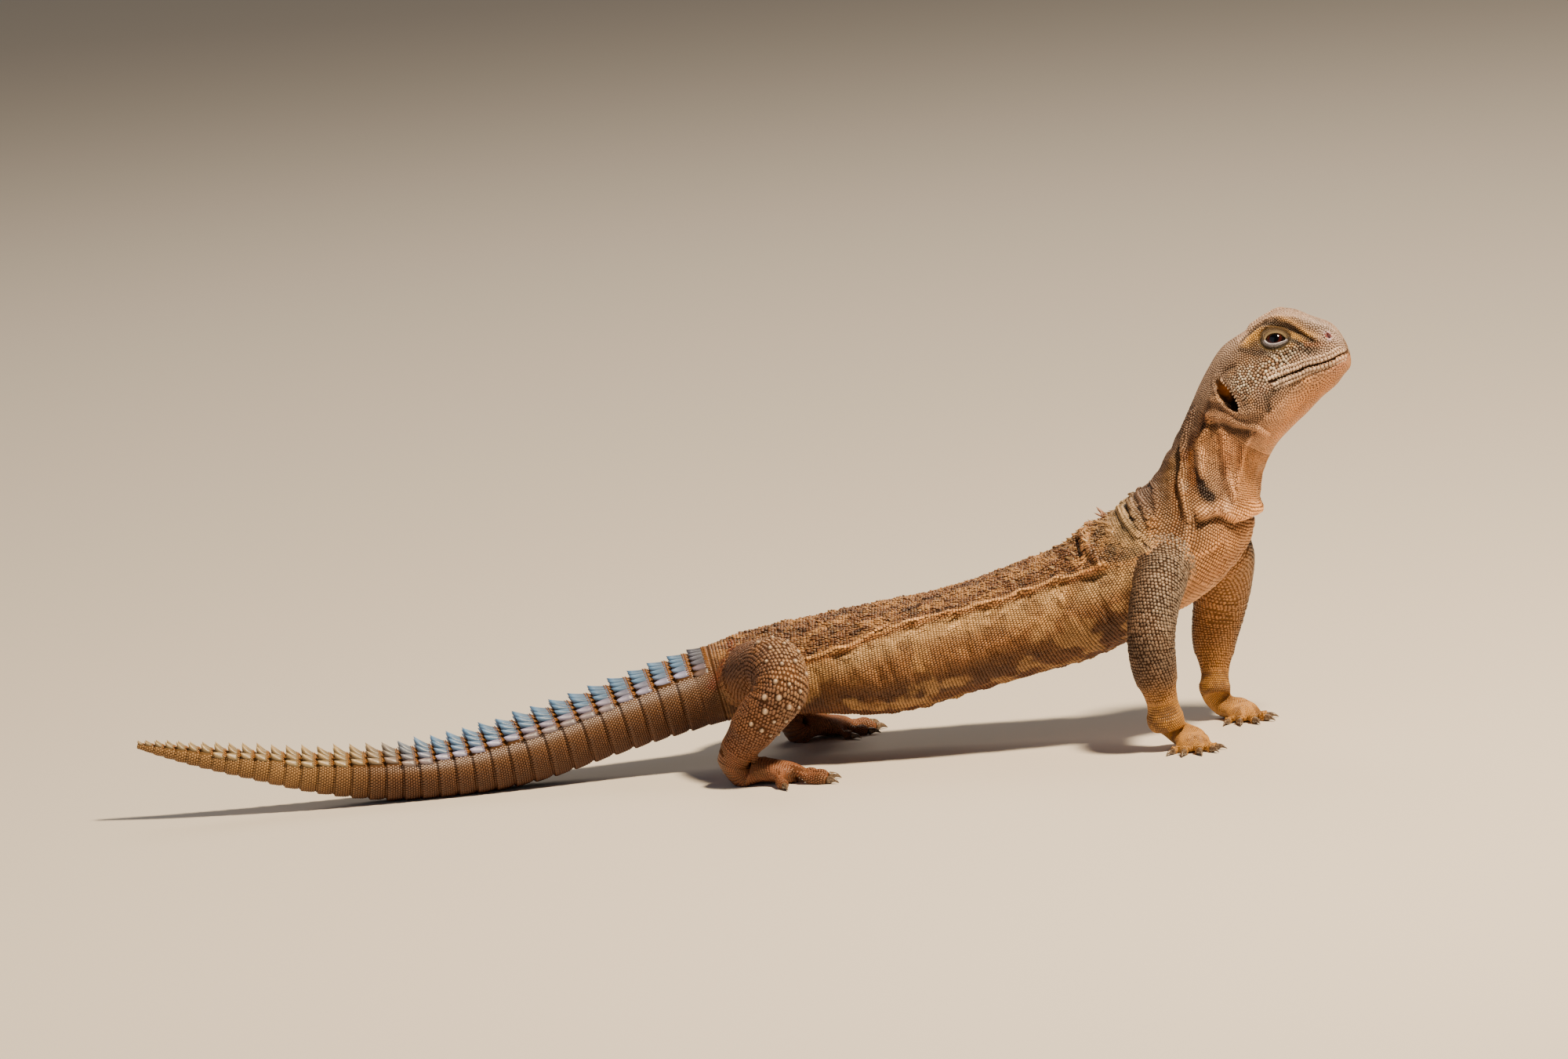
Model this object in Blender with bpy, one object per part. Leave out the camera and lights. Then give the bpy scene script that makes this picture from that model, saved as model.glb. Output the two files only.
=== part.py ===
"""Spiny-tailed lizard at life size, standing with its forebody raised and its tail laid behind it.

Metres, +Z up. The head points along +X and the animal's right side faces -Y. The floor is z = 0 and the
origin lies on it, under the middle of the animal's box. Every soft form is a loft: oval sections set
square to a smooth line that runs through a few named stations.
"""

import math

import bmesh
import bpy
import numpy as np
from mathutils import Matrix, Vector

MM = 0.001
GAP = 0.3 * MM  # between the faces of neighbouring pieces
MIDDLE = (0.85, 8.45, 0.0)  # taken from every place below, in mm, so that the origin is under the middle
SIDES = {"right": -1, "left": 1}  # the animal's right is -Y

# Trunk stations, snout to tail tip: the middle of a section, its half width, its height above and below
# that middle, all in mm, and the upward tilt of the section's own forward axis in degrees.
TRUNK = {
    "snout": (198.4, -12.0, 120.8, 6.2, 7.0, 7.6, 17),
    "nostrils": (195.0, -11.6, 121.8, 8.2, 8.2, 9.0, 17),
    "before_eyes": (190.1, -11.1, 121.0, 10.2, 11.6, 12.4, 17),
    "brow_front": (184.8, -10.4, 120.3, 12.4, 15.2, 15.2, 17),
    "eyes": (178.7, -9.6, 117.1, 14.0, 17.0, 17.0, 18),
    "cheeks": (173.2, -9.0, 113.3, 15.6, 16.9, 16.9, 25),
    "jowls": (168.0, -8.6, 109.8, 16.2, 17.2, 17.2, 33),
    "ears": (163.4, -8.2, 104.5, 15.4, 16.0, 16.2, 43),
    "nape": (158.5, -7.7, 96.5, 13.8, 15.0, 15.2, 53),
    "neck": (155.3, -7.2, 90.6, 13.4, 14.8, 15.0, 60),
    "throat": (152.6, -6.6, 83.1, 14.2, 16.4, 16.6, 60),
    "neck_root": (148.0, -5.6, 72.4, 17.0, 18.4, 18.4, 54),
    "shoulders": (139.0, -4.4, 63.6, 20.6, 19.8, 20.0, 46),
    "armpits": (122.0, -1.2, 52.8, 22.8, 19.2, 19.2, 31),
    "ribs": (104.5, 2.2, 44.4, 24.8, 18.6, 18.6, 20),
    "flank": (88.3, 4.6, 39.8, 26.0, 17.8, 17.8, 14),
    "middle": (71.3, 6.8, 35.8, 26.4, 17.0, 17.4, 11),
    "belly": (42.0, 9.6, 31.4, 25.4, 17.0, 18.6, 4),
    "loins": (21.0, 10.8, 30.4, 21.6, 15.4, 16.0, 3),
    "hips": (4.0, 11.4, 29.4, 18.6, 13.8, 14.2, 6),
    "vent": (-10.0, 11.2, 27.2, 15.0, 12.6, 12.8, 10),
    "tail_root": (-27.2, 10.4, 23.4, 13.0, 11.6, 12.0, 13),
    "tail_thick": (-49.1, 8.6, 17.6, 12.0, 10.6, 11.0, 15),
    "tail_lands": (-70.4, 6.0, 12.4, 11.2, 10.2, 10.8, 11),
    "tail_rests": (-91.6, 3.0, 9.0, 10.0, 9.0, 9.6, 5),
    "tail_flat": (-117.0, 0.5, 8.6, 8.6, 7.6, 8.4, -3),
    "tail_lifts": (-141.1, -1.2, 11.6, 7.0, 6.0, 6.6, -9),
    "tail_thin": (-161.0, -1.6, 16.0, 5.0, 4.4, 4.8, -13),
    "tail_fine": (-178.5, -0.6, 20.0, 3.4, 3.0, 3.2, -13),
    "tail_tip": (-197.4, 2.4, 24.6, 1.3, 1.1, 1.1, -13),
}

SNOUT_ROUND = 5.0 * MM  # length over which the snout closes
SNOUT_POWER = 2.6
SECTION_POWER = 2.15  # 2 is an ellipse, more is squarer
HEAD_ROWS = 15  # rows of points down each side of the head
TRUNK_ROWS = 12

# Marks on the head: mm from the snout tip along its middle line, and mm above that line.
EYE_AT, EYE_UP = 20.4, 10.6
EYE_RADIUS = 4.3 * MM
EYE_SUNK = 2.9 * MM  # from the surface of the cheek to the middle of the eye
EYE_SLOPE = -0.04  # fall of the line through the eye's corners for each unit forward
LID_THICKNESS = 0.8 * MM
LID_OPEN = 25.0  # degrees from the middle of the eye to the edge of each lid
LID_CORNER = 47.0  # degrees from the middle of the eye to each corner
LID_REACH = 70.0  # degrees from the middle of the eye to each lid's hidden edge inside the head
EAR_AT, EAR_UP = 40.2, 7.2
EAR_SIZE = (1.9 * MM, 5.9 * MM, 2.8 * MM)  # half width, half height, depth
EAR_TILT = math.radians(-17.0)
NOSTRIL_AT, NOSTRIL_UP = 4.5, 4.8
NOSTRIL_SIZE = (1.1 * MM, 0.85 * MM, 1.4 * MM)

# The line of the mouth: mm from the snout tip, and mm above the middle line.
MOUTH = ((0.0, -1.4), (5.6, -3.0), (11.0, -3.4), (16.6, -3.1), (23.0, -1.2), (28.5, 0.8))
LIP = 0.8 * MM  # from the line of the mouth to the fullest part of each lip
MOUTH_DEPTH = 0.8 * MM

# Swells and hollows of the head: mm from the snout, degrees from the top, reach along in mm, reach
# round in degrees, height in mm.
HEAD_FORMS = {
    "brow": (20.5, 33.0, 9.0, 9.0, 1.5),
    "hollow_under_brow": (21.0, 56.0, 8.0, 11.0, -1.4),
    "hollow_before_eye": (12.0, 54.0, 5.0, 13.0, -0.8),
    "snout_ridge": (8.0, 36.0, 6.0, 11.0, 0.6),
    "jowl": (33.0, 112.0, 7.0, 22.0, 1.2),
    "behind_ear": (42.5, 74.0, 3.0, 26.0, -1.2),
}

# Where the trunk is divided, in mm from the snout tip.
HEAD_TO_NECK = 48.0
NECK_TO_TORSO = 84.0
TORSO_TO_TAIL = 246.0
TAIL_TO_MIDDLE = 322.0
TAIL_TO_TIP = 386.0

# Folds of loose skin on the torso: the ridge along each flank, and the fold under the throat.
FLANK_FOLD_ANGLE = 60.0  # degrees from the top
FLANK_FOLD_FROM, FLANK_FOLD_TO = 112.0, 232.0
FLANK_FOLD_HEIGHT = 1.0 * MM
THROAT_FOLD_AT, THROAT_FOLD_REACH, THROAT_FOLD_HEIGHT = 71.0, 2.4, 1.6

# Tail whorls: each is a ring of scales that rises towards the tail tip and ends in spines.
WHORLS_FROM = 247.5  # mm from the snout tip
WHORL_LENGTHS = ((0.0, 3.0), (20.0, 4.0), (60.0, 5.3), (110.0, 5.7), (150.0, 6.8), (200.0, 6.2))
WHORL_RISE = 0.5 * MM  # by which a ring rises towards its rear edge
WHORL_STEP = 0.14  # share of a ring's length taken by the groove behind it

# Tail spines: degrees from the top on both sides with the share of the full height there, and the full
# height at distances in mm before the tail tip.
SPINE_ROWS = {
    "tail_base": ((11.0, 1.0), (35.0, 0.95), (60.0, 0.7), (86.0, 0.45)),
    "tail_middle": ((12.0, 1.0), (38.0, 0.95), (64.0, 0.75), (92.0, 0.5)),
    "tail_tip": ((17.0, 1.0), (52.0, 0.85), (88.0, 0.6)),
}
SPINE_TALL = ((0.0, 1.0), (12.0, 1.9), (40.0, 2.7), (90.0, 3.4), (125.0, 3.3), (150.0, 2.4), (185.0, 1.0))
SPINE_LEAST = 0.8 * MM  # spines lower than this stay part of their ring
SPINE_WIDE = 0.30  # half width at the root, as a share of the height
SPINE_AHEAD = 0.95  # forward reach of the root, as a share of the height
SPINE_LEAN = 0.55  # backward travel of the tip, as a share of the height
SPINE_SUNK = 0.30  # depth of the root, as a share of the height

# Limbs, in mm: the line's points from its root inside the trunk to the wrist or ankle, with the half
# thickness across and along the swing of the limb.
ARM = {
    "right": (
        ("root", 137.0, -12.0, 62.0, 9.6, 9.6),
        ("shoulder", 133.6, -23.0, 56.5, 9.2, 9.0),
        ("upper", 129.6, -31.0, 47.0, 8.2, 8.2),
        ("elbow", 127.6, -34.6, 37.0, 7.8, 7.8),
        ("fore", 127.8, -33.8, 27.5, 7.4, 7.4),
        ("wrist", 129.6, -31.6, 16.0, 5.2, 5.6),
    ),
    "left": (
        ("root", 148.0, 4.0, 61.0, 9.8, 9.8),
        ("shoulder", 154.6, 12.0, 55.0, 9.2, 9.4),
        ("upper", 154.2, 19.6, 44.5, 8.2, 9.0),
        ("elbow", 151.6, 23.4, 34.0, 7.8, 8.6),
        ("fore", 149.2, 21.4, 24.0, 6.6, 7.2),
        ("wrist", 148.6, 18.4, 14.6, 4.8, 5.0),
    ),
}
LEG = {
    "right": (
        ("root", 0.0, 2.0, 30.0, 11.0, 10.4),
        ("thigh", 3.0, -13.0, 33.6, 10.2, 10.0),
        ("knee_top", 8.4, -27.0, 36.0, 9.6, 9.6),
        ("knee", 9.4, -34.0, 31.0, 9.0, 9.0),
        ("shin", 1.0, -32.0, 20.6, 7.6, 7.8),
        ("ankle", -6.6, -28.6, 11.0, 6.0, 6.4),
    ),
    "left": (
        ("root", 2.0, 20.0, 29.0, 11.0, 10.4),
        ("thigh", 9.0, 36.0, 28.0, 10.0, 9.8),
        ("knee_top", 21.0, 48.0, 27.4, 9.0, 9.2),
        ("knee", 25.0, 53.0, 23.0, 8.6, 8.6),
        ("shin", 19.0, 51.0, 16.0, 7.2, 7.4),
        ("ankle", 12.0, 48.0, 10.0, 5.8, 6.0),
    ),
}
LIMB_ROWS = 12  # points round a limb
LIMB_BEND = {"arm": 3, "leg": 3}  # station at which the limb is divided
LIMB_TURN = 26.0  # length over which the limb's sections turn round a bend

# Stretch of the trunk that a limb's root is cut to, in mm from the snout tip.
TRUNK_CUT = {"arm": (62.0, 160.0), "leg": (196.0, 280.0)}

# Hands and feet: heading in degrees from +X towards +Y, reach from wrist to knuckles, and for each
# digit its spread from the heading in degrees, its length and its half thickness in mm.
HAND = {
    "reach": 5.6,
    "palm": (5.6, 3.6),
    "digits": (
        (-52.0, 5.8, 1.65),
        (-27.0, 7.8, 1.85),
        (-4.0, 8.8, 1.95),
        (20.0, 8.2, 1.9),
        (46.0, 6.0, 1.7),
    ),
}
FOOT = {
    "reach": 9.4,
    "palm": (6.6, 4.4),
    "digits": (
        (-62.0, 8.2, 1.75),
        (-30.0, 11.4, 2.0),
        (-6.0, 14.6, 2.15),
        (16.0, 16.6, 2.15),
        (62.0, 10.4, 1.9),
    ),
}
HEADINGS = {
    ("arm", "right"): -84.0,
    ("arm", "left"): -64.0,
    ("leg", "right"): -14.0,
    ("leg", "left"): 22.0,
}
DIGIT_PLACES = (0.0, 0.3, 0.62, 0.84, 1.0)  # shares of a digit's length that carry a ring
DIGIT_THICK = (1.05, 1.12, 1.02, 0.95, 0.7)  # its thickness there, as shares of its full half thickness
SHARP_FROM = 45.0  # degrees between faces from which an edge is shaded sharp
PRESSED = 0.22 * MM  # depth by which a pad is flattened against the floor
DIGIT_SIDES = 6
TUBERCLE_ROWS = (26.5, 31.5, 36.3, 44.0, 48.5, 53.0)  # places of the rows along the hind leg
TUBERCLE_FROM = -30.0  # degrees round the leg at which a row starts
TUBERCLE_STEP = 30.0  # degrees between the cones of a row
TUBERCLE_WIDE = 1.3 * MM  # half width of a cone at the skin
TUBERCLE_BLUNT = 0.4  # half width at its top, as a share of that
TUBERCLE_TALL = 0.9 * MM
CLAW_LENGTH = 3.9 * MM
CLAW_WIDTH = 0.52  # of the digit's half thickness
CLAW_CLEAR = 0.35 * MM  # from the floor to a claw's point
CLAW_SIDES = 6


def clear_scene():
    """Starts from an empty scene."""
    for item in list(bpy.data.objects):
        bpy.data.objects.remove(item, do_unlink=True)


def new_collection(name):
    """A collection linked to the scene."""
    made = bpy.data.collections.new(name)
    bpy.context.scene.collection.children.link(made)
    return made


def new_material(name, colour, roughness):
    """A plain surface of one colour, given as linear red, green and blue."""
    made = bpy.data.materials.new(name)
    made.use_nodes = True
    shader = made.node_tree.nodes["Principled BSDF"]
    shader.inputs["Base Color"].default_value = (*colour, 1.0)
    shader.inputs["Roughness"].default_value = roughness
    shader.inputs["Metallic"].default_value = 0.0
    return made


def smooth_line(rows, count):
    """A cubic curve through rows of numbers, each row spaced by its distance from the one before.

    The slope at a row is the weighted mean of the slopes on both sides of it.
    """
    rows = np.asarray(rows, float)
    steps = np.linalg.norm(np.diff(rows[:, :3], axis=0), axis=1)
    knots = np.concatenate([[0.0], np.cumsum(steps)])
    slopes = np.diff(rows, axis=0) / steps[:, None]
    inner = (slopes[:-1] * steps[1:, None] + slopes[1:] * steps[:-1, None]) / (steps[:-1] + steps[1:])[:, None]
    tangents = np.vstack([slopes[:1], inner, slopes[-1:]])
    at = np.linspace(0.0, knots[-1], count)
    span = np.clip(np.searchsorted(knots, at, side="right") - 1, 0, len(steps) - 1)
    part = ((at - knots[span]) / steps[span])[:, None]
    size = steps[span][:, None]
    return (
        (2 * part**3 - 3 * part**2 + 1) * rows[span]
        + (part**3 - 2 * part**2 + part) * size * tangents[span]
        + (3 * part**2 - 2 * part**3) * rows[span + 1]
        + (part**3 - part**2) * size * tangents[span + 1]
    )


class Line:
    """A smooth middle line with its sizes, read by distance along it."""

    SAMPLES = 1600

    def __init__(self, rows):
        table = smooth_line(rows, self.SAMPLES)
        self.centre = table[:, :3]
        self.sizes = table[:, 3:]
        steps = np.linalg.norm(np.diff(self.centre, axis=0), axis=1)
        self.along = np.concatenate([[0.0], np.cumsum(steps)])
        forward = np.gradient(self.centre, self.along, axis=0)
        self.forward = forward / np.linalg.norm(forward, axis=1)[:, None]
        self.length = self.along[-1]

    def read(self, values, distance):
        """Each column of values at the distances given."""
        columns = [np.interp(distance, self.along, column) for column in values.T]
        return np.stack(columns, axis=-1)

    def nearest(self, point):
        """The distance along the line at which it passes nearest to a point."""
        gaps = np.linalg.norm(self.centre - np.asarray(point), axis=1)
        return float(self.along[int(np.argmin(gaps))])


def placed(rows):
    """Rows that start with a place in mm, moved so that the origin is under the middle of the animal."""
    rows = np.array(rows, float)
    rows[..., :3] -= np.array(MIDDLE)
    return rows


def trunk_line():
    """The line from the snout tip to the tail tip, in metres."""
    return Line(placed(list(TRUNK.values())) * np.array([MM] * 6 + [1.0]))


def trunk_frame(line, distance):
    """Centre, left and up of the trunk's sections."""
    centre = line.read(line.centre, distance)
    along = -line.read(line.forward, distance)
    level = along * np.array([1.0, 1.0, 0.0])
    level /= np.linalg.norm(level, axis=-1, keepdims=True)
    tilt = np.radians(line.read(line.sizes, distance)[..., 3:4])
    upright = np.array([0.0, 0.0, 1.0])
    left = np.cross(upright, level)
    up = upright * np.cos(tilt) - level * np.sin(tilt)
    return centre, left, up


def snout_closing(distance):
    """1 along the body, falling to 0 at the snout tip as a round end does."""
    share = np.clip(1.0 - distance / SNOUT_ROUND, 0.0, 1.0)
    return (1.0 - share**SNOUT_POWER) ** (1.0 / SNOUT_POWER)


def oval(angle):
    """Sideways and upward shares of a rounded section at an angle from its top."""
    sine, cosine = np.sin(angle), np.cos(angle)
    power = 2.0 / SECTION_POWER
    return np.sign(sine) * np.abs(sine) ** power, np.sign(cosine) * np.abs(cosine) ** power


def trunk_point(line, distance, angle, outward=0.0):
    """Points of the trunk's surface, angle measured from the top towards the left side."""
    distance, angle, outward = np.broadcast_arrays(distance, angle, outward)
    centre, left, up = trunk_frame(line, distance)
    width, above, below, _ = np.moveaxis(line.read(line.sizes, distance), -1, 0)
    closing = snout_closing(distance)
    aside, upward = oval(angle)
    height = np.where(upward >= 0.0, above, below)
    reach = left * (aside * (width * closing + outward))[..., None]
    lift = up * (upward * (height * closing + outward))[..., None]
    return centre + reach + lift


def angle_at_height(line, distance, height):
    """The angle from the top at which the surface stands a height above the middle line."""
    _, above, below, _ = np.moveaxis(line.read(line.sizes, distance), -1, 0)
    closing = np.maximum(snout_closing(distance), 0.05)
    share = np.where(height >= 0.0, height / (above * closing), height / (below * closing))
    share = np.clip(share, -0.97, 0.97)
    return np.arccos(np.sign(share) * np.abs(share) ** (SECTION_POWER / 2.0))


def mouth_height(distance):
    """Height of the line of the mouth over the middle line, in metres."""
    places, heights = np.array(MOUTH).T
    return np.interp(distance / MM, places, heights) * MM


def bell(value, reach):
    """A smooth hump of height 1 that falls away over the reach."""
    return np.exp(-((value / reach) ** 2))


def head_relief(distance, angle):
    """Outward swell of the head over its plain section."""
    total = np.zeros(np.broadcast(distance, angle).shape)
    turned = np.degrees(np.abs(angle))
    for at, round_at, reach, round_reach, height in HEAD_FORMS.values():
        total += height * MM * bell(distance / MM - at, reach) * bell(turned - round_at, round_reach)
    return total


def head_rings(line, start, end, count):
    """Rings of the head, with one row of points laid along the line of the mouth."""
    near = np.linspace(0.0, 1.0, count) ** 1.25
    distance = (start + (end - start) * near)[:, None]
    mouth = angle_at_height(line, distance, mouth_height(distance))
    radius = line.read(line.sizes, distance)[..., 2] * np.maximum(snout_closing(distance), 0.2)
    lip = np.clip(LIP / radius, 0.03, 0.30)
    above_rows = 8
    below_rows = HEAD_ROWS - above_rows - 3
    upper = np.linspace(0.0, 1.0, above_rows)[None, :] * (mouth - lip)
    lower = mouth + lip + np.linspace(0.0, 1.0, below_rows + 1)[None, 1:] * (math.pi - mouth - lip)
    half = np.hstack([upper, mouth, mouth + lip, lower])
    angle = np.hstack([half, -half[:, -2:0:-1]])
    outward = head_relief(distance, angle)
    open_share = np.clip((MOUTH[-1][0] - distance / MM) / 4.0, 0.0, 1.0)
    for row in (above_rows, angle.shape[1] - above_rows):
        outward[:, row] -= (MOUTH_DEPTH * open_share)[:, 0]
        outward[:, row - 1] += (0.25 * LIP * open_share)[:, 0]
        outward[:, (row + 1) % angle.shape[1]] += (0.25 * LIP * open_share)[:, 0]
    return trunk_point(line, distance, angle, outward)


def section_angles(rows, turn=0.0):
    """Angles evenly round a section, turned by a share of a step."""
    return (np.arange(2 * rows) + turn) / rows * math.pi


def flank_fold(distance, angle):
    """The ridge of loose skin along each flank."""
    turned = np.degrees(np.abs((angle + math.pi) % (2 * math.pi) - math.pi))
    along = distance / MM
    ends = np.clip((along - FLANK_FOLD_FROM) / 12.0, 0.0, 1.0) * np.clip((FLANK_FOLD_TO - along) / 16.0, 0.0, 1.0)
    return FLANK_FOLD_HEIGHT * ends * bell(turned - FLANK_FOLD_ANGLE, 7.0)


def throat_fold(distance, angle):
    """The fold across the throat, in front of the shoulders."""
    turned = np.degrees(np.abs((angle + math.pi) % (2 * math.pi) - math.pi))
    across = np.clip((turned - 90.0) / 60.0, 0.0, 1.0)
    return THROAT_FOLD_HEIGHT * MM * across * bell(distance / MM - THROAT_FOLD_AT, THROAT_FOLD_REACH)


def body_rings(line, start, end, count, grow=0.0):
    """Rings of the neck or the torso, with extra rings on the throat's fold."""
    fold = (THROAT_FOLD_AT + THROAT_FOLD_REACH * np.array([-1.6, -0.8, 0.0, 0.8, 1.6])) * MM
    fold = fold[(fold > start + MM) & (fold < end - MM)]
    even = np.linspace(start, end, count)
    if len(fold) > 0:
        even = even[(even < fold[0] - 1.5 * MM) | (even > fold[-1] + 1.5 * MM)]
    distance = np.sort(np.concatenate([even, fold]))[:, None]
    angle = section_angles(TRUNK_ROWS)[None, :]
    outward = flank_fold(distance, angle) + throat_fold(distance, angle) + grow
    return trunk_point(line, distance, angle, outward)


def whorl_starts(line):
    """Where each whorl starts, from the tail's root to its tip; the rings shorten towards the tip."""
    starts = [WHORLS_FROM * MM]
    places, lengths = np.array(WHORL_LENGTHS).T
    while True:
        left_over = (line.length - starts[-1]) / MM
        length = float(np.interp(left_over, places, lengths))
        if left_over < 1.7 * length:
            return starts
        starts.append(starts[-1] + length * MM)


def tail_rings(line, start, end, starts, rows):
    """Rings of a length of tail: each whorl rises to its rear edge and drops into a groove."""
    places, lifts = [start], [0.0]
    for first, second in zip(starts, starts[1:] + [line.length]):
        rear = second - WHORL_STEP * (second - first)
        for place, lift in ((first, 0.0), (rear, WHORL_RISE)):
            if start + 0.4 * MM < place < end - 0.4 * MM:
                places.append(place)
                lifts.append(lift)
    places.append(end)
    lifts.append(0.0)
    distance = np.array(places)[:, None]
    angle = section_angles(rows, 0.5)[None, :]
    points = trunk_point(line, distance, angle, np.array(lifts)[:, None])
    points[..., 2] = np.maximum(points[..., 2], 0.0)
    return points


def object_from_rings(name, rings, collection, material=None, tip=None):
    """A closed mesh: quads between neighbouring rings and a flat end on each side, or a tip at the last."""
    count, around = rings.shape[:2]
    mesh = bpy.data.meshes.new(name)
    points = rings.reshape(-1, 3).tolist()
    first = np.arange(count - 1)[:, None] * around + np.arange(around)[None, :]
    second = np.arange(count - 1)[:, None] * around + (np.arange(around)[None, :] + 1) % around
    quads = np.stack([first, second, second + around, first + around], axis=-1).reshape(-1, 4)
    faces = [tuple(quad) for quad in quads.tolist()]
    last = (count - 1) * around
    faces.append(tuple(range(around - 1, -1, -1)))
    if tip is None:
        faces.append(tuple(range(last, last + around)))
    else:
        points.append(list(tip))
        faces.extend((last + step, last + (step + 1) % around, last + around) for step in range(around))
    mesh.from_pydata(points, [], faces)
    shaped = bmesh.new()
    shaped.from_mesh(mesh)
    bmesh.ops.triangulate(shaped, faces=shaped.faces[:])
    bmesh.ops.recalc_face_normals(shaped, faces=shaped.faces[:])
    shaped.to_mesh(mesh)
    shaped.free()
    made = bpy.data.objects.new(name, mesh)
    if material is not None:
        mesh.materials.append(material)
    collection.objects.link(made)
    return made


def largest_surface(item):
    """Keeps only the largest closed surface of a mesh."""
    shaped = bmesh.new()
    shaped.from_mesh(item.data)
    unseen, groups = set(shaped.verts), []
    while unseen:
        group, edge = set(), [unseen.pop()]
        while edge:
            vertex = edge.pop()
            group.add(vertex)
            for link in vertex.link_edges:
                other = link.other_vert(vertex)
                if other in unseen:
                    unseen.discard(other)
                    edge.append(other)
        groups.append(group)
    groups.sort(key=len, reverse=True)
    for group in groups[1:]:
        bmesh.ops.delete(shaped, geom=list(group), context="VERTS")
    bmesh.ops.triangulate(shaped, faces=shaped.faces[:])
    shaped.to_mesh(item.data)
    shaped.free()


def combine(item, pieces, operation, solver="EXACT"):
    """Joins the pieces to the object, or cuts them from it, and removes them."""
    group = bpy.data.collections.new(item.name + "_pieces")
    bpy.context.scene.collection.children.link(group)
    for piece in pieces:
        for old in list(piece.users_collection):
            old.objects.unlink(piece)
        group.objects.link(piece)
    step = item.modifiers.new("join", "BOOLEAN")
    step.operand_type = "COLLECTION"
    step.collection = group
    step.operation = operation
    step.solver = solver
    bpy.context.view_layer.update()
    seen = item.evaluated_get(bpy.context.evaluated_depsgraph_get())
    result = bpy.data.meshes.new_from_object(seen)
    item.modifiers.clear()
    item.data = result
    for piece in pieces:
        bpy.data.objects.remove(piece, do_unlink=True)
    bpy.data.collections.remove(group)
    largest_surface(item)


def ball(name, radius, place, turn, sizes, collection, segments=14, rings=9):
    """A ball stretched to the sizes, turned and put in place."""
    mesh = bpy.data.meshes.new(name)
    shaped = bmesh.new()
    bmesh.ops.create_uvsphere(shaped, u_segments=segments, v_segments=rings, radius=radius)
    matrix = Matrix.Translation(Vector(place)) @ turn.to_4x4() @ Matrix.Diagonal((*sizes, 1.0))
    bmesh.ops.transform(shaped, matrix=matrix, verts=shaped.verts[:])
    bmesh.ops.triangulate(shaped, faces=shaped.faces[:])
    bmesh.ops.recalc_face_normals(shaped, faces=shaped.faces[:])
    shaped.to_mesh(mesh)
    shaped.free()
    made = bpy.data.objects.new(name, mesh)
    collection.objects.link(made)
    return made


def head_mark(line, at, up, side):
    """Place and axes of a mark on the head: outward, forward and upward unit vectors."""
    distance = np.array(at * MM)
    angle = angle_at_height(line, distance, np.array(up * MM)) * side
    relief = head_relief(distance, angle)
    place = trunk_point(line, distance, angle, relief)
    ahead = trunk_point(line, distance - 0.5 * MM, angle, relief) - place
    above = place - trunk_point(line, distance, angle + side * 0.05, relief)
    outward = np.cross(ahead, above) * -side
    outward = Vector(outward).normalized()
    forward = Vector(ahead)
    forward = (forward - outward * forward.dot(outward)).normalized()
    upward = outward.cross(forward) * -side
    return Vector(place), outward, forward, upward.normalized()


def axes_matrix(outward, forward, upward):
    """Turns x to forward, y to upward and z to outward."""
    return Matrix((forward, upward, outward)).transposed()


def lid_rings(centre, outward, forward, upward, way):
    """A strip of a ball round the eye, from the lid's edge back into the head.

    It runs from one corner of the eye to the other; its edge follows an almond.
    """
    inner = EYE_RADIUS + 0.35 * MM
    across = np.radians(np.linspace(-78.0, 78.0, 9))
    almond = np.clip(1.0 - (np.degrees(across) / LID_CORNER) ** 2, 0.0, 1.0) ** 0.6
    edge = np.radians(1.2 + LID_OPEN * almond)
    back = np.radians(LID_REACH)
    shares = [(inner, 0.0), (inner, 0.5), (inner, 1.0)]
    shares += [(inner + LID_THICKNESS, 1.0), (inner + LID_THICKNESS, 0.5), (inner + LID_THICKNESS, 0.0)]
    corners = []
    for radius, share in shares:
        raised = (edge + (back - edge) * share) * way
        direction = (
            np.outer(np.cos(raised) * np.cos(across), outward)
            + np.outer(np.cos(raised) * np.sin(across), forward)
            + np.outer(np.sin(raised), upward)
        )
        corners.append(np.asarray(centre) + radius * direction)
    return np.stack(corners, axis=1)


def eye_centre(line, side):
    """The middle of an eyeball and its axes; the eye's corners lie level while the head is tilted."""
    place, outward, _, _ = head_mark(line, EYE_AT, EYE_UP, side)
    forward = Vector((1.0, 0.0, EYE_SLOPE))
    forward = (forward - outward * forward.dot(outward)).normalized()
    upward = outward.cross(forward) * -side
    return place - outward * EYE_SUNK, outward, forward, upward.normalized()


def make_head(line, collection, scratch, material):
    """The head with its sockets, lids, ear cups, nostrils and lips."""
    rings = head_rings(line, 0.06 * MM, HEAD_TO_NECK * MM - GAP / 2, 27)
    head = object_from_rings("head", rings, collection, material)
    cuts, lids = [], []
    for side in SIDES.values():
        centre, outward, forward, upward = eye_centre(line, side)
        turn = axes_matrix(outward, forward, upward)
        socket = EYE_RADIUS + 0.35 * MM + 0.4 * LID_THICKNESS
        cuts.append(ball("socket", socket, centre, turn, (1.0, 1.0, 1.0), scratch, 12, 8))
        for way in (1.0, -1.0):
            strip = lid_rings(centre, outward, forward, upward, way)
            lids.append(object_from_rings("lid", strip, scratch))
        place, outward, forward, upward = head_mark(line, EAR_AT, EAR_UP, side)
        turn = axes_matrix(outward, forward, upward) @ Matrix.Rotation(EAR_TILT, 3, "Z")
        cuts.append(ball("ear_cup", 1.0, place, turn, EAR_SIZE, scratch, 10, 6))
        place, outward, forward, upward = head_mark(line, NOSTRIL_AT, NOSTRIL_UP, side)
        turn = axes_matrix(outward, forward, upward)
        cuts.append(ball("nostril", 1.0, place, turn, NOSTRIL_SIZE, scratch, 8, 5))
    combine(head, cuts, "DIFFERENCE")
    combine(head, lids, "UNION")
    return head


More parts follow.
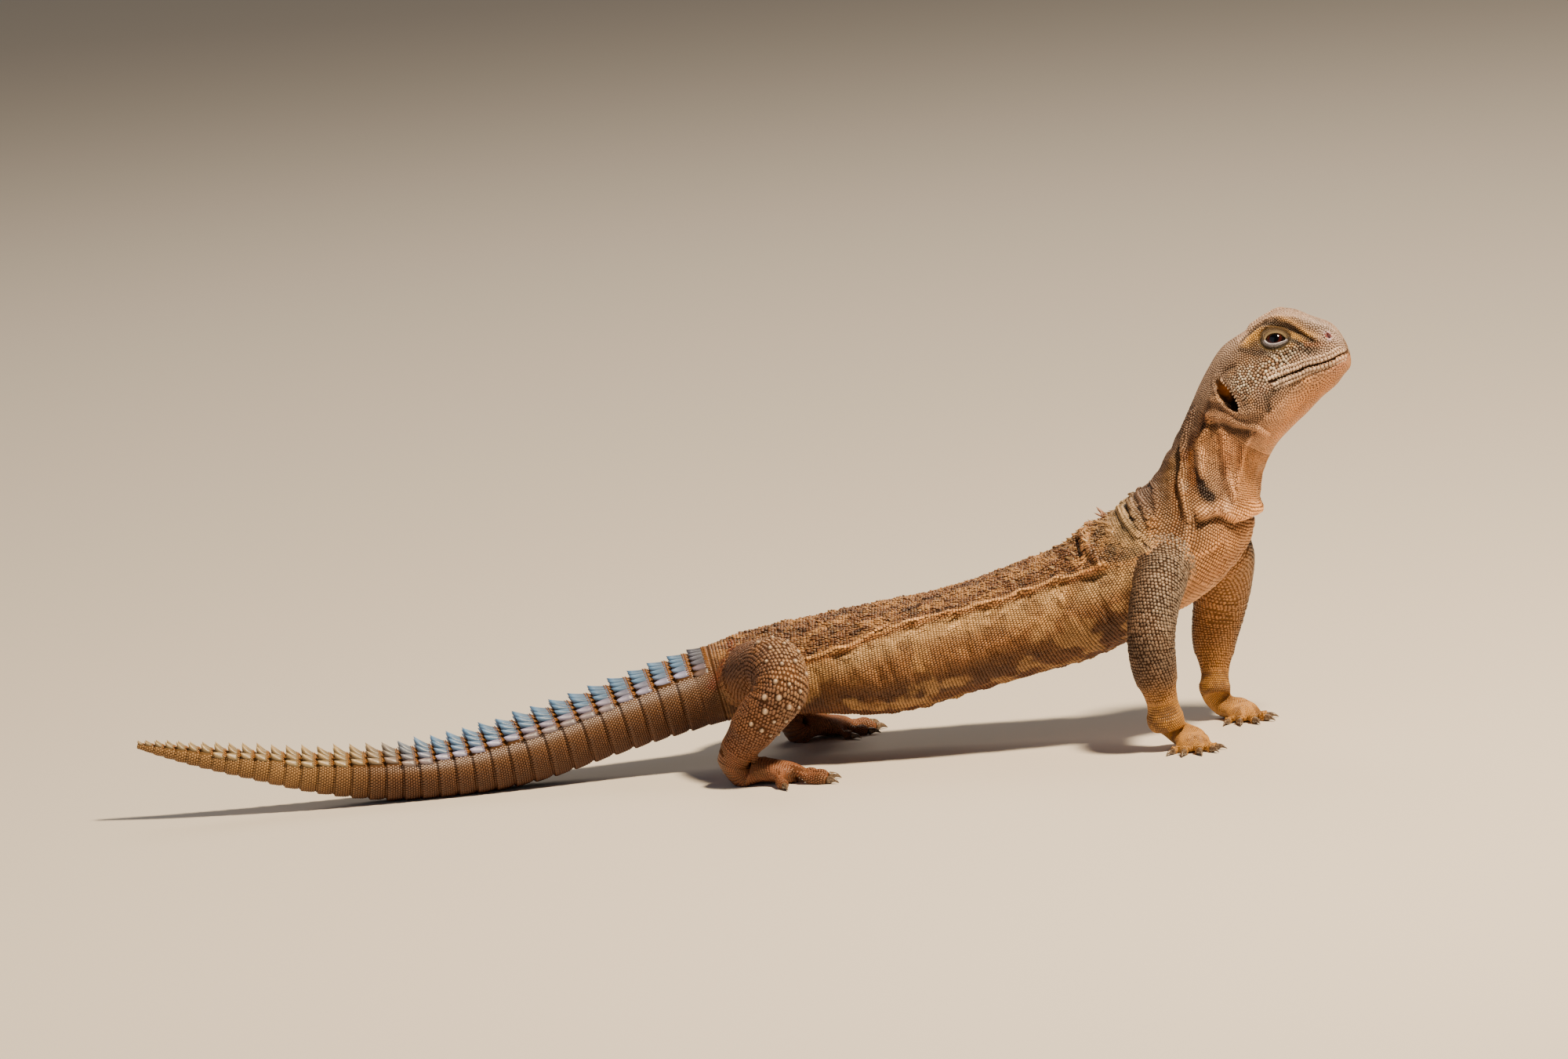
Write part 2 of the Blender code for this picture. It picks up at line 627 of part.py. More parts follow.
def make_eyes(line, collection, material):
    """The two eyeballs, clear of the lids."""
    for name, side in SIDES.items():
        centre, outward, forward, upward = eye_centre(line, side)
        turn = axes_matrix(outward, forward, upward)
        eye = ball("eye_" + name, EYE_RADIUS, centre, turn, (1.0, 1.0, 1.0), collection, 12, 8)
        eye.data.materials.append(material)


def make_spine(root, across, outward, backward, tall, scratch):
    """A thorn on a four-cornered root that reaches forward, with its tip over the root's rear corner."""
    ahead = -backward * SPINE_AHEAD * tall
    aside = across * SPINE_WIDE * tall
    behind = backward * 0.22 * tall
    corners = np.stack([ahead, aside, behind, -aside]) - outward * SPINE_SUNK * tall
    tip = root + outward * tall + backward * SPINE_LEAN * tall
    return object_from_rings("spine", (root + corners)[None], scratch, tip=tip)


def whorl_spines(name, line, start, end, starts, scratch):
    """Spines on the rear edge of every whorl between two distances."""
    draw = np.random.default_rng(7)
    spines = []
    places, heights = np.array(SPINE_TALL).T
    for first, second in zip(starts, starts[1:] + [line.length]):
        rear = np.array(second - (WHORL_STEP + 0.10) * (second - first))
        full = float(np.interp((line.length - rear) / MM, places, heights)) * MM
        for degrees, share in SPINE_ROWS[name]:
            for side in SIDES.values():
                tall = full * share * (1.0 + 0.12 * draw.uniform(-1.0, 1.0))
                if tall < SPINE_LEAST:
                    continue
                if rear - SPINE_AHEAD * tall < start + 0.3 * MM or rear + SPINE_LEAN * tall > end - 0.3 * MM:
                    continue
                angle = np.array(math.radians(degrees) * side)
                root = trunk_point(line, rear, angle, WHORL_RISE * 0.8)
                across = unit(trunk_point(line, rear, angle + 0.1, WHORL_RISE) - root)
                backward = unit(line.read(line.forward, rear))
                outward = unit(np.cross(across, backward) * side)
                spines.append(make_spine(root, across, outward, backward, tall, scratch))
    return spines


def make_tail(line, collection, scratch, material):
    """The tail in three lengths, each ringed by its whorls and their spines."""
    starts = whorl_starts(line)
    lengths = (
        ("tail_base", TORSO_TO_TAIL * MM, TAIL_TO_MIDDLE * MM, 7),
        ("tail_middle", TAIL_TO_MIDDLE * MM, TAIL_TO_TIP * MM, 6),
        ("tail_tip", TAIL_TO_TIP * MM, line.length, 5),
    )
    for name, start, end, rows in lengths:
        rings = tail_rings(line, start + GAP / 2, end - GAP / 2, starts, rows)
        tail = object_from_rings(name, rings, collection, material)
        combine(tail, whorl_spines(name, line, start, end, starts, scratch), "UNION")


def limb_line(stations):
    """The line of a limb from its root to its wrist or ankle, its sections turned evenly round its bends."""
    line = Line(placed([station[1:] for station in stations]) * MM)
    half = int(LIMB_TURN * MM / line.length * Line.SAMPLES / 2)
    padded = np.pad(line.forward, ((half, half), (0, 0)), mode="edge")
    share = np.full(2 * half + 1, 1.0 / (2 * half + 1))
    mean = np.stack([np.convolve(column, share, "valid") for column in padded.T], axis=1)
    line.forward = mean / np.linalg.norm(mean, axis=1)[:, None]
    return line


def limb_point(line, distance, angle, grow=0.0):
    """Points of a limb's surface; its first size runs across the animal and its second fore and aft."""
    distance, angle = np.broadcast_arrays(distance, angle)
    centre = line.read(line.centre, distance)
    forward = line.read(line.forward, distance)
    forward /= np.linalg.norm(forward, axis=-1, keepdims=True)
    ahead = np.array([1.0, 0.0, 0.0]) - forward * forward[..., :1]
    ahead /= np.linalg.norm(ahead, axis=-1, keepdims=True)
    across = np.cross(forward, ahead)
    wide, deep = np.moveaxis(line.read(line.sizes, distance) + grow, -1, 0)
    return centre + across * (wide * np.cos(angle))[..., None] + ahead * (deep * np.sin(angle))[..., None]


def limb_rings(line, start, end, count, grow=0.0):
    """Rings of a length of a limb."""
    distance = np.linspace(start, end, count)[:, None]
    angle = (np.arange(LIMB_ROWS) / LIMB_ROWS * 2.0 * math.pi)[None, :]
    return limb_point(line, distance, angle, grow)


def clear_of_limb(item, line, start, end, scratch):
    """Cuts an item clear of the length of limb before it, where the two lie side by side in a bend."""
    rings = limb_rings(line, start, end, 8, GAP)
    rings[-1] += line.read(line.forward, np.array(end)) * 0.9 * GAP
    combine(item, [object_from_rings("limb_space", rings, scratch)], "DIFFERENCE")


def tube_rings(points, radii, sides, flat=1.0):
    """Round rings square to a line of points, flattened upward by a share."""
    points = np.asarray(points, float)
    forward = np.gradient(points, axis=0)
    forward /= np.linalg.norm(forward, axis=1)[:, None]
    across = np.cross(forward, np.array([0.0, 0.0, 1.0]))
    across /= np.linalg.norm(across, axis=1)[:, None]
    upward = np.cross(across, forward)
    angle = np.arange(sides) / sides * 2.0 * math.pi
    radii = np.asarray(radii)[:, None, None]
    return (
        points[:, None, :]
        + radii * across[:, None, :] * np.cos(angle)[None, :, None]
        + radii * flat * upward[:, None, :] * np.sin(angle)[None, :, None]
    )


def heading_vector(degrees):
    """A level unit vector at an angle from +X towards +Y."""
    turn = math.radians(degrees)
    return np.array([math.cos(turn), math.sin(turn), 0.0])


def digit_line(root, way, length, thick, height):
    """Points and half thicknesses of a digit: out of the palm, over its knuckle, down to the floor."""
    radii = np.array(DIGIT_THICK) * thick * MM
    heights = radii * math.sin(math.radians(60.0)) - PRESSED
    heights[:2] = (0.9 * height, height)
    points = root + np.outer(np.array(DIGIT_PLACES) * length * MM, way)
    points[:, 2] += heights
    return points, radii


def unit(vector):
    """A vector of length 1."""
    return vector / np.linalg.norm(vector)


def palm_rings(line, ahead, form):
    """Rings from the wrist down, round a hinge in front of it, and out over the floor to the knuckles.

    Every ring of the bend passes through the hinge's plane on one side, so that none crosses another.
    """
    wide, deep = form["palm"][0] * MM, form["palm"][1] * MM
    wrist_wide, wrist_deep = line.sizes[-1]
    wrist, down = line.centre[-1] + line.forward[-1] * GAP, line.forward[-1]
    fore = unit(np.array([1.0, 0.0, 0.0]) - down * down[0])
    first_across = np.cross(down, fore)
    last_across = np.cross(ahead, np.array([0.0, 0.0, 1.0]))
    hinge_out = wrist_deep + 0.9 * MM
    drop = max((wrist[2] + hinge_out * fore[2] - 2.0 * deep - 1.2 * MM) / -down[2], 0.8 * MM)
    hinge = wrist + down * drop + fore * hinge_out
    rings = [limb_point(line, np.array([[line.length]]), palm_angles()[None, :])[0] + down * GAP]
    for share in (0.0, 0.35, 0.7, 1.0):
        across = unit((1.0 - share) * first_across + share * last_across)
        normal = unit((1.0 - share) * down + share * ahead)
        across = unit(across - normal * (across @ normal))
        upward = np.cross(across, normal)
        out = (1.0 - share) * hinge_out + share * (hinge[2] - deep + PRESSED)
        half = ((1.0 - share) * wrist_wide + share * wide, (1.0 - share) * wrist_deep + share * deep)
        rings.append(palm_ring(hinge - upward * out, across, upward, *half))
    centre = hinge - np.array([0.0, 0.0, hinge[2] - deep + PRESSED])
    up = np.array([0.0, 0.0, 1.0])
    for reach, width, depth in ((1.0, 1.06, 0.84), (1.35, 0.7, 0.6)):
        place = centre + ahead * reach * form["reach"] * MM
        place[2] = deep * depth - PRESSED
        rings.append(palm_ring(place, last_across, up, wide * width, deep * depth))
    knuckles = centre + ahead * form["reach"] * MM
    knuckles[2] = 0.0
    return np.stack(rings), knuckles, last_across


def palm_ring(centre, across, upward, wide, deep):
    """One oval ring of a palm."""
    angle = palm_angles()[:, None]
    return centre + wide * across * np.cos(angle) + deep * upward * np.sin(angle)


def palm_angles():
    """Angles round a palm, as many as round a limb."""
    return np.arange(LIMB_ROWS) / LIMB_ROWS * 2.0 * math.pi


def make_extremity(kind, side, line, collection, scratch, skin, horn):
    """A hand or a foot with its five digits, and a claw before each digit."""
    form, noun = (HAND, "hand") if kind == "arm" else (FOOT, "foot")
    heading = HEADINGS[(kind, side)]
    ahead = heading_vector(heading)
    rings, knuckles, across = palm_rings(line, ahead, form)
    palm = object_from_rings(f"{noun}_{side}", rings, collection, skin)
    wide, deep = form["palm"]
    digits = []
    outer = -1.0 if side == "right" else 1.0
    for number, (spread, length, thick) in enumerate(form["digits"], start=1):
        way = heading_vector(heading + spread * outer)
        turn = math.radians(spread)
        root = knuckles - across * math.sin(turn) * outer * 0.58 * wide * MM
        root = root - ahead * (1.0 - math.cos(turn)) * 3.0 * MM - way * 1.0 * MM
        points, radii = digit_line(root, way, length + 1.0, thick, 1.05 * deep * MM)
        digits.append(object_from_rings("digit", tube_rings(points, radii, DIGIT_SIDES), scratch))
        make_claw(f"claw_{noun}_{side}_{number}", points[-1], way, thick, collection, horn)
    combine(palm, digits, "UNION")
    clear_of_limb(palm, line, 0.5 * line.length, line.length, scratch)
    rest_on_floor(palm)


def rest_on_floor(item):
    """Flattens what presses below the floor against it."""
    mesh = item.data
    places = np.empty(len(mesh.vertices) * 3)
    mesh.vertices.foreach_get("co", places)
    places[2::3] = np.maximum(places[2::3], 0.0)
    mesh.vertices.foreach_set("co", places)
    mesh.update()


def shade(item):
    """Smooth shading, with the edges of cut faces, lids and spines left sharp."""
    item.data.shade_smooth()
    item.data.set_sharp_from_angle(angle=math.radians(SHARP_FROM))


def make_claw(name, root, way, thick, collection, material):
    """A curved claw, a small gap before the flat end of its digit, that points down at the floor."""
    share = np.linspace(0.0, 1.0, 4)
    drop = (root[2] - CLAW_CLEAR) * share**1.7
    rise = 0.35 * MM * np.sin(share * math.pi)
    points = root + np.outer(share * CLAW_LENGTH + 1.5 * GAP, way) + np.outer(rise - drop, [0.0, 0.0, 1.0])
    radii = thick * MM * CLAW_WIDTH * (1.0 - 0.8 * share**1.3)
    points[:, 2] = np.maximum(points[:, 2], radii + 0.1 * MM)
    rings = tube_rings(points, radii, CLAW_SIDES, flat=1.15)
    object_from_rings(name, rings[:3], collection, material, tip=points[3] + way * 0.4 * MM)


def tubercles(line, side, start, end, scratch):
    """Pale cones in staggered rows over the outer and front side of a length of the hind leg."""
    cones = []
    for row, place in enumerate(TUBERCLE_ROWS):
        if not start + TUBERCLE_WIDE < place * MM < end - TUBERCLE_WIDE:
            continue
        for column in range(4 - row % 2):
            angle = math.radians(TUBERCLE_FROM + (column + 0.5 * (row % 2)) * TUBERCLE_STEP)
            if side == "left":
                angle = math.pi - angle
            size = 1.0 + 0.22 * math.sin(1.9 * row + 2.3 * column)
            root = limb_point(line, place * MM, angle)
            above = limb_point(line, place * MM, angle, TUBERCLE_TALL)
            cones.append(make_cone(root, unit(above - root), size, scratch))
    return cones


def make_cone(root, outward, size, scratch):
    """A blunt five-sided cone, sunk in the skin by half a width."""
    shaped = bmesh.new()
    bmesh.ops.create_cone(
        shaped,
        cap_ends=True,
        segments=5,
        radius1=TUBERCLE_WIDE * size * 1.15,
        radius2=TUBERCLE_WIDE * size * TUBERCLE_BLUNT,
        depth=(TUBERCLE_TALL + TUBERCLE_WIDE) * size,
    )
    mesh = bpy.data.meshes.new("cone")
    shaped.to_mesh(mesh)
    shaped.free()
    made = bpy.data.objects.new("cone", mesh)
    made.rotation_euler = Vector(outward).to_track_quat("Z", "Y").to_euler()
    made.location = root + outward * (TUBERCLE_TALL - TUBERCLE_WIDE) * size / 2.0
    scratch.objects.link(made)
    return made


def make_limb(kind, side, trunk, collection, scratch, skin, horn):
    """An arm or a leg in three nodes that meet face to face, its root cut to the trunk's side."""
    stations = (ARM if kind == "arm" else LEG)[side]
    nouns = ("upper_arm", "forearm") if kind == "arm" else ("thigh", "shin")
    line = limb_line(stations)
    bend = line.nearest(placed(stations[LIMB_BEND[kind]][1:4]) * MM)
    upper = object_from_rings(f"{nouns[0]}_{side}", limb_rings(line, 0.0, bend, 8), collection, skin)
    if kind == "leg":
        combine(upper, tubercles(line, side, 0.0, bend, scratch), "UNION")
    around = TRUNK_CUT[kind]
    cutter = object_from_rings(
        "trunk_space", body_rings(trunk, around[0] * MM, around[1] * MM, 30, GAP), scratch
    )
    combine(upper, [cutter], "DIFFERENCE")
    rings = limb_rings(line, bend, line.length, 7)
    rings[0] += line.read(line.forward, np.array(bend)) * GAP
    lower = object_from_rings(f"{nouns[1]}_{side}", rings, collection, skin)
    if kind == "leg":
        clear_of_limb(lower, line, 0.0, bend, scratch)
        combine(lower, tubercles(line, side, bend, line.length, scratch), "UNION")
    make_extremity(kind, side, line, collection, scratch, skin, horn)


def main():
    """Builds the whole animal."""
    clear_scene()
    collection = new_collection("spiny_tailed_lizard")
    scratch = new_collection("scratch")
    skin = new_material("sandy_scales", (0.42, 0.24, 0.12), 0.65)
    head_skin = new_material("head_scales", (0.40, 0.26, 0.16), 0.6)
    tail_skin = new_material("tail_scales", (0.38, 0.27, 0.17), 0.55)
    horn = new_material("claw_horn", (0.10, 0.06, 0.04), 0.4)
    eye = new_material("dark_eye", (0.02, 0.012, 0.008), 0.1)
    trunk = trunk_line()
    make_head(trunk, collection, scratch, head_skin)
    make_eyes(trunk, collection, eye)
    neck = body_rings(trunk, HEAD_TO_NECK * MM + GAP / 2, NECK_TO_TORSO * MM - GAP / 2, 12)
    object_from_rings("neck", neck, collection, skin)
    torso = body_rings(trunk, NECK_TO_TORSO * MM + GAP / 2, TORSO_TO_TAIL * MM - GAP / 2, 29)
    object_from_rings("torso", torso, collection, skin)
    make_tail(trunk, collection, scratch, tail_skin)
    for kind in ("arm", "leg"):
        for side in SIDES:
            make_limb(kind, side, trunk, collection, scratch, skin, horn)
    for item in collection.objects:
        shade(item)
    bpy.data.collections.remove(scratch)


main()
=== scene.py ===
"""A spiny-tailed lizard as a museum would show it: one skin, its scales, spines, lids, eyes and claws."""

import math

import bpy
import mathutils
import numpy as np
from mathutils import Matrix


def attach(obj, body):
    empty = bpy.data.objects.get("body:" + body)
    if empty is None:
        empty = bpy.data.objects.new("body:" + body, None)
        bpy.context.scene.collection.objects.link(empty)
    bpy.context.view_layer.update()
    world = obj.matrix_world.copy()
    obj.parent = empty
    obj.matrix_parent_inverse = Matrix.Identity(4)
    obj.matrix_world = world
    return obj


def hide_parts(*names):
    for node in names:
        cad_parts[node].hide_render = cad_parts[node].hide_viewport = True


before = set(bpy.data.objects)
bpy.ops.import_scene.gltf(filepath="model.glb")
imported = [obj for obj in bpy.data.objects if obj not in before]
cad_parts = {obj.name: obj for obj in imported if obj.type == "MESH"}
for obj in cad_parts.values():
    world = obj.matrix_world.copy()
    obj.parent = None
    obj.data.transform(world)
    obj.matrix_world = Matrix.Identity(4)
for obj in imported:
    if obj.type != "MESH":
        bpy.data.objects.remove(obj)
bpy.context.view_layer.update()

MM = 0.001
GIRTH = 2.0 * math.pi
SIDES = {"right": -1.0, "left": 1.0}
MIDDLE = np.array([0.85, 8.45, 0.0])  # mm, from the stations' own origin to the middle of the animal's box
COAT = 0.35  # mm, depth of the skin under the outer faces of the scales
OFF_FLOOR = 0.02  # mm, the least height of skin and scales over the floor
DEEPEN = 1.16  # power that deepens all colours of the skin, as the view's tone curve pales them

# Stations of the trunk in mm: place, half width, half height over and under the line, tilt in degrees.
TRUNK = np.array([
    (198.4, -12.0, 120.8, 6.2, 7.0, 7.6, 17.0),
    (195.0, -11.6, 121.8, 8.2, 8.2, 9.0, 17.0),
    (190.1, -11.1, 121.0, 10.2, 11.6, 12.4, 17.0),
    (184.8, -10.4, 120.3, 12.4, 15.2, 15.2, 17.0),
    (178.7, -9.6, 117.1, 14.0, 17.0, 17.0, 18.0),
    (173.2, -9.0, 113.3, 15.6, 16.9, 16.9, 25.0),
    (168.0, -8.6, 109.8, 16.2, 17.2, 17.2, 33.0),
    (163.4, -8.2, 104.5, 15.4, 16.0, 16.2, 43.0),
    (158.5, -7.7, 96.5, 13.8, 15.0, 15.2, 53.0),
    (155.3, -7.2, 90.6, 13.4, 14.8, 15.0, 60.0),
    (152.6, -6.6, 83.1, 14.2, 16.4, 16.6, 60.0),
    (148.0, -5.6, 72.4, 17.0, 18.4, 18.4, 54.0),
    (139.0, -4.4, 63.6, 20.6, 19.8, 20.0, 46.0),
    (122.0, -1.2, 52.8, 22.8, 19.2, 19.2, 31.0),
    (104.5, 2.2, 44.4, 24.8, 18.6, 18.6, 20.0),
    (88.3, 4.6, 39.8, 26.0, 17.8, 17.8, 14.0),
    (71.3, 6.8, 35.8, 26.4, 17.0, 17.4, 11.0),
    (42.0, 9.6, 31.4, 25.4, 17.0, 18.6, 4.0),
    (21.0, 10.8, 30.4, 21.6, 15.4, 16.0, 3.0),
    (4.0, 11.4, 29.4, 18.6, 13.8, 14.2, 6.0),
    (-10.0, 11.2, 27.2, 15.0, 12.6, 12.8, 10.0),
    (-27.2, 10.4, 23.4, 13.0, 11.6, 12.0, 13.0),
    (-49.1, 8.6, 17.6, 12.0, 10.6, 11.0, 15.0),
    (-70.4, 6.0, 12.4, 11.2, 10.2, 10.8, 11.0),
    (-91.6, 3.0, 9.0, 10.0, 9.0, 9.6, 5.0),
    (-117.0, 0.5, 8.6, 8.6, 7.6, 8.4, -3.0),
    (-141.1, -1.2, 11.6, 7.0, 6.0, 6.6, -9.0),
    (-161.0, -1.6, 16.0, 5.0, 4.4, 4.8, -13.0),
    (-178.5, -0.6, 20.0, 3.4, 3.0, 3.2, -13.0),
    (-197.4, 2.4, 24.6, 1.3, 1.1, 1.1, -13.0),
])
SECTION_POWER = 2.15
SNOUT_ROUND, SNOUT_POWER = 5.0, 2.6

# Stations of each limb in mm: place, half thickness across and along its swing, from root to wrist or ankle.
LIMBS = {
    "arm_right": ((137, -12, 62, 9.6, 9.6), (133.6, -23, 56.5, 9.2, 9), (129.6, -31, 47, 8.2, 8.2),
                  (127.6, -34.6, 37, 7.8, 7.8), (127.8, -33.8, 27.5, 7.4, 7.4), (129.6, -31.6, 16, 5.2,
                  5.6)),
    "arm_left": ((148, 4, 61, 9.8, 9.8), (154.6, 12, 55, 9.2, 9.4), (154.2, 19.6, 44.5, 8.2, 9),
                 (151.6, 23.4, 34, 7.8, 8.6), (149.2, 21.4, 24, 6.6, 7.2), (148.6, 18.4, 14.6, 4.8, 5)),
    "leg_right": ((0, 2, 30, 11, 10.4), (3, -13, 33.6, 10.2, 10), (8.4, -27, 36, 9.6, 9.6),
                  (9.4, -34, 31, 9, 9), (1, -32, 20.6, 7.6, 7.8), (-6.6, -28.6, 11, 6, 6.4)),
    "leg_left": ((2, 20, 29, 11, 10.4), (9, 36, 28, 10, 9.8), (21, 48, 27.4, 9, 9.2),
                 (25, 53, 23, 8.6, 8.6), (19, 51, 16, 7.2, 7.4), (12, 48, 10, 5.8, 6)),
}
LIMB_TURN = 26.0  # mm over which a limb's sections turn round a bend
HEADINGS = {"arm_right": -84.0, "arm_left": -64.0, "leg_right": -14.0, "leg_left": 22.0}
# Reach to the knuckles, half width and height of the palm, and each digit's spread, length, half thickness.
HAND = (5.6, 5.6, 3.6, ((-52, 5.8, 1.65), (-27, 7.8, 1.85), (-4, 8.8, 1.95), (20, 8.2, 1.9), (46, 6.0, 1.7)))
FOOT = (9.4, 6.6, 4.4, ((-62, 8.2, 1.75), (-30, 11.4, 2.0), (-6, 14.6, 2.15), (16, 16.6, 2.15), (62,
    10.4, 1.9)))
PRESSED = 0.22

# Marks of the head: mm from the snout tip along its line, and mm over that line.
EYE_AT, EYE_UP, EYE_RADIUS, EYE_SUNK, EYE_SLOPE = 20.4, 10.6, 4.3, 2.9, -0.04
LID_CORNER = 47.0
EAR_AT, EAR_UP, EAR_TILT = 40.2, 7.2, math.radians(-17.0)
EAR_SIZE = (2.5, 6.3)
NOSTRIL_AT, NOSTRIL_UP = 4.5, 4.8
NOSTRIL_SIZE = (0.75, 1.05)
MOUTH = np.array([(0.0, -1.4), (5.6, -3.0), (11.0, -3.4), (16.6, -3.1), (23.0, -1.2), (28.5, 0.8)])
# Swells and hollows: mm from the snout, degrees from the top, reach along, reach round, height.
HEAD_FORMS = ((20.5, 33, 9, 9, 1.5), (21, 56, 8, 11, -1.4), (12, 54, 5, 13, -0.8), (8, 36, 6, 11, 0.6),
              (33, 112, 7, 22, 1.2), (42.5, 74, 3, 26, -1.2))

# The fold along the flank: mm from the snout and degrees from the top.
FLANK_LINE = np.array([
    (84, 84), (96, 84), (104, 76), (109.2, 69), (115.2, 66), (121.2, 62), (128.2, 54), (152, 51),
    (169.6, 46),
    (182.6, 47), (195, 54), (208, 67), (218, 72), (240, 84),
])
# Folds of loose skin: width and height in mm, then the route in mm from the snout and degrees from the top.
FOLDS = (
    (1.1, 0.8, (47.9, 61), (45.4, 76), (44.4, 91), (42.9, 102), (40.9, 114), (40, 130)),
    (1.2, -0.9, (50.2, 60), (47.6, 76), (46.6, 91), (45.0, 102), (43.2, 114)),
    (0.9, 0.8, (47.9, 58), (51.9, 65), (56.4, 65), (58.9, 76), (64, 84)),
    (0.8, 0.7, (46.9, 73), (50.4, 89), (55.9, 101), (61.8, 115), (66, 124)),
    (0.8, 0.6, (42.9, 112), (48.9, 113), (56.4, 124), (62, 126)),
    (0.9, 0.9, (50, 30), (57.9, 40), (61.8, 54), (67.8, 62), (75.3, 77), (83.3, 95), (88, 103)),
    (1.3, -0.6, (52, 24), (60, 34), (64.5, 48), (70.5, 56), (78, 71), (86, 90)),
    (1.5, 1.3, (74.8, 93), (71.8, 103), (69.8, 114), (71, 124), (70.8, 133), (68.5, 154), (68, 180)),
    (1.3, -0.9, (78.2, 96), (74.6, 107), (72.8, 120), (73.4, 135), (71.4, 156), (70.9, 180)),
    (0.9, 1.0, (93.8, 8), (93.3, 45), (93.3, 63), (94.3, 84)),
    (0.9, 0.9, (89.0, 8), (88.8, 29), (91.3, 59), (93.8, 84)),
    (0.8, 0.8, (84.8, 8), (84.8, 32), (87.3, 61), (92.0, 84)),
    (0.8, 0.5, (78, 10), (77.8, 27), (81.3, 48), (90, 78)),
    (0.8, -0.5, (91.2, 8), (91, 45), (92.2, 70)),
    (1.1, 1.4, (112.5, 6), (111.7, 24), (110.7, 52), (109.2, 69)),
    (0.9, 1.1, (117, 8), (113.2, 18), (113, 37), (114, 49), (118, 58)),
    (1.2, -0.8, (115, 6), (114.4, 30), (115.6, 50)),
    (0.75, 1.1, (109.2, 69), (115.2, 66), (121.2, 62), (128.2, 54), (136.2, 54), (144.1, 53), (152.1, 51),
     (161.1, 49), (169.6, 46), (182.6, 47), (189, 49), (195, 54), (201.5, 62), (208, 67), (218, 72)),
    (1.3, -0.8, (111, 76), (121.2, 69), (128.2, 61), (144.1, 60), (161.1, 56), (182.6, 54), (195, 61),
    (208, 74)),
    (0.9, 0.5, (100, 80), (103, 93), (108, 106)),
    (0.9, 0.5, (104, 78), (108, 92), (113, 102)),
    (0.8, 0.5, (90, 104), (86, 114), (80, 122)),
    (0.9, 0.6, (227, 40), (230, 70), (232, 96)),
    (0.9, 0.5, (222, 52), (224, 90)),
    (0.8, 0.4, (217, 62), (219, 92)),
    (1.6, 0.5, (124, 76), (136, 84), (150, 92), (166, 98)),
    (1.0, 0.6, (26, 13), (22.4, 21), (18, 31), (14.5, 41), (11.5, 49), (9.5, 59), (7.5, 68)),
    (0.9, -0.5, (26, 24), (22.4, 30), (18, 40), (14.5, 50), (11.5, 58), (9.5, 68)),
    (0.6, -0.4, (6, 116), (11, 113), (16.5, 112), (22, 108)),
    (0.8, -0.5, (24, 99), (28, 99), (31, 103), (34, 112)),
    (1.2, 0.6, (44.0, 52), (42.6, 62), (42.4, 74), (41.8, 86), (40, 94), (37.6, 98)),
    (0.9, -0.5, (40.5, 44), (36.5, 44), (34, 50)),
)


def smooth_rows(rows, count):
    """A cubic through rows of numbers, each slope the weighted mean of its neighbours'."""
    rows = np.asarray(rows, float)
    steps = np.linalg.norm(np.diff(rows[:, :3], axis=0), axis=1)
    knots = np.concatenate([[0.0], np.cumsum(steps)])
    slopes = np.diff(rows, axis=0) / steps[:, None]
    joined = steps[:-1] + steps[1:]
    inner = (slopes[:-1] * steps[1:, None] + slopes[1:] * steps[:-1, None]) / joined[:, None]
    tangents = np.vstack([slopes[:1], inner, slopes[-1:]])
    at = np.linspace(0.0, knots[-1], count)
    span = np.clip(np.searchsorted(knots, at, side="right") - 1, 0, len(steps) - 1)
    t = ((at - knots[span]) / steps[span])[:, None]
    size = steps[span][:, None]
    return (
        (2 * t**3 - 3 * t**2 + 1) * rows[span]
        + (t**3 - 2 * t**2 + t) * size * tangents[span]
        + (3 * t**2 - 2 * t**3) * rows[span + 1]
        + (t**3 - t**2) * size * tangents[span + 1]
    )


class MiddleLine:
    """A smooth line through stations in mm, read by distance along it."""

    def __init__(self, rows):
        """Rows of x, y, z and the sizes there, in mm."""
        rows = np.array(rows, float)
        rows[:, :3] -= MIDDLE
        table = smooth_rows(rows, 1600)
        self.centre, self.sizes = table[:, :3], table[:, 3:]
        steps = np.linalg.norm(np.diff(self.centre, axis=0), axis=1)
        self.along = np.concatenate([[0.0], np.cumsum(steps)])
        self.forward = unit(np.gradient(self.centre, self.along, axis=0))
        self.length = self.along[-1]

    def read(self, values, distance):
        """Each column of values at the distances."""
        return np.stack([np.interp(distance, self.along, column) for column in values.T], axis=-1)


def unit(vectors):
    """Vectors divided by their length."""
    return vectors / np.maximum(np.linalg.norm(vectors, axis=-1, keepdims=True), 1e-12)


def dot(first, second):
    """Sum of the products along the last axis."""
    return (first * second).sum(axis=-1)


def ease(value, low, high):
    """0 under low, 1 over high, and t*t*(3-2t) between."""
    t = np.clip((value - low) / (high - low), 0.0, 1.0)
    return t * t * (3.0 - 2.0 * t)


def bell(value, reach):
    """exp of minus the square of value over reach."""
    return np.exp(-((value / reach) ** 2))


NOISE_TABLE = np.random.default_rng(5).random((32, 32, 32))


def grains(points, size, seed=0):
    """Value noise 0 to 1: random corner values of a cubic lattice of the size in mm, eased between."""
    place = np.asarray(points) / size + seed * 7.31
    cell = np.floor(place).astype(int)
    t = place - cell
    t = t * t * (3.0 - 2.0 * t)
    total = 0.0
    for corner in np.ndindex(2, 2, 2):
        index = (cell + np.array(corner)) % 32
        weight = np.prod(np.where(np.array(corner) == 1, t, 1.0 - t), axis=-1)
        total = total + weight * NOISE_TABLE[index[..., 0], index[..., 1], index[..., 2]]
    return total


def clouds(points, size, seed=0):
    """Three layers of grains, each half the size and half the strength of the one before."""
    layers = sum(grains(points, size / 2**k, seed + k) / 2**k for k in range(3))
    return layers / 1.75


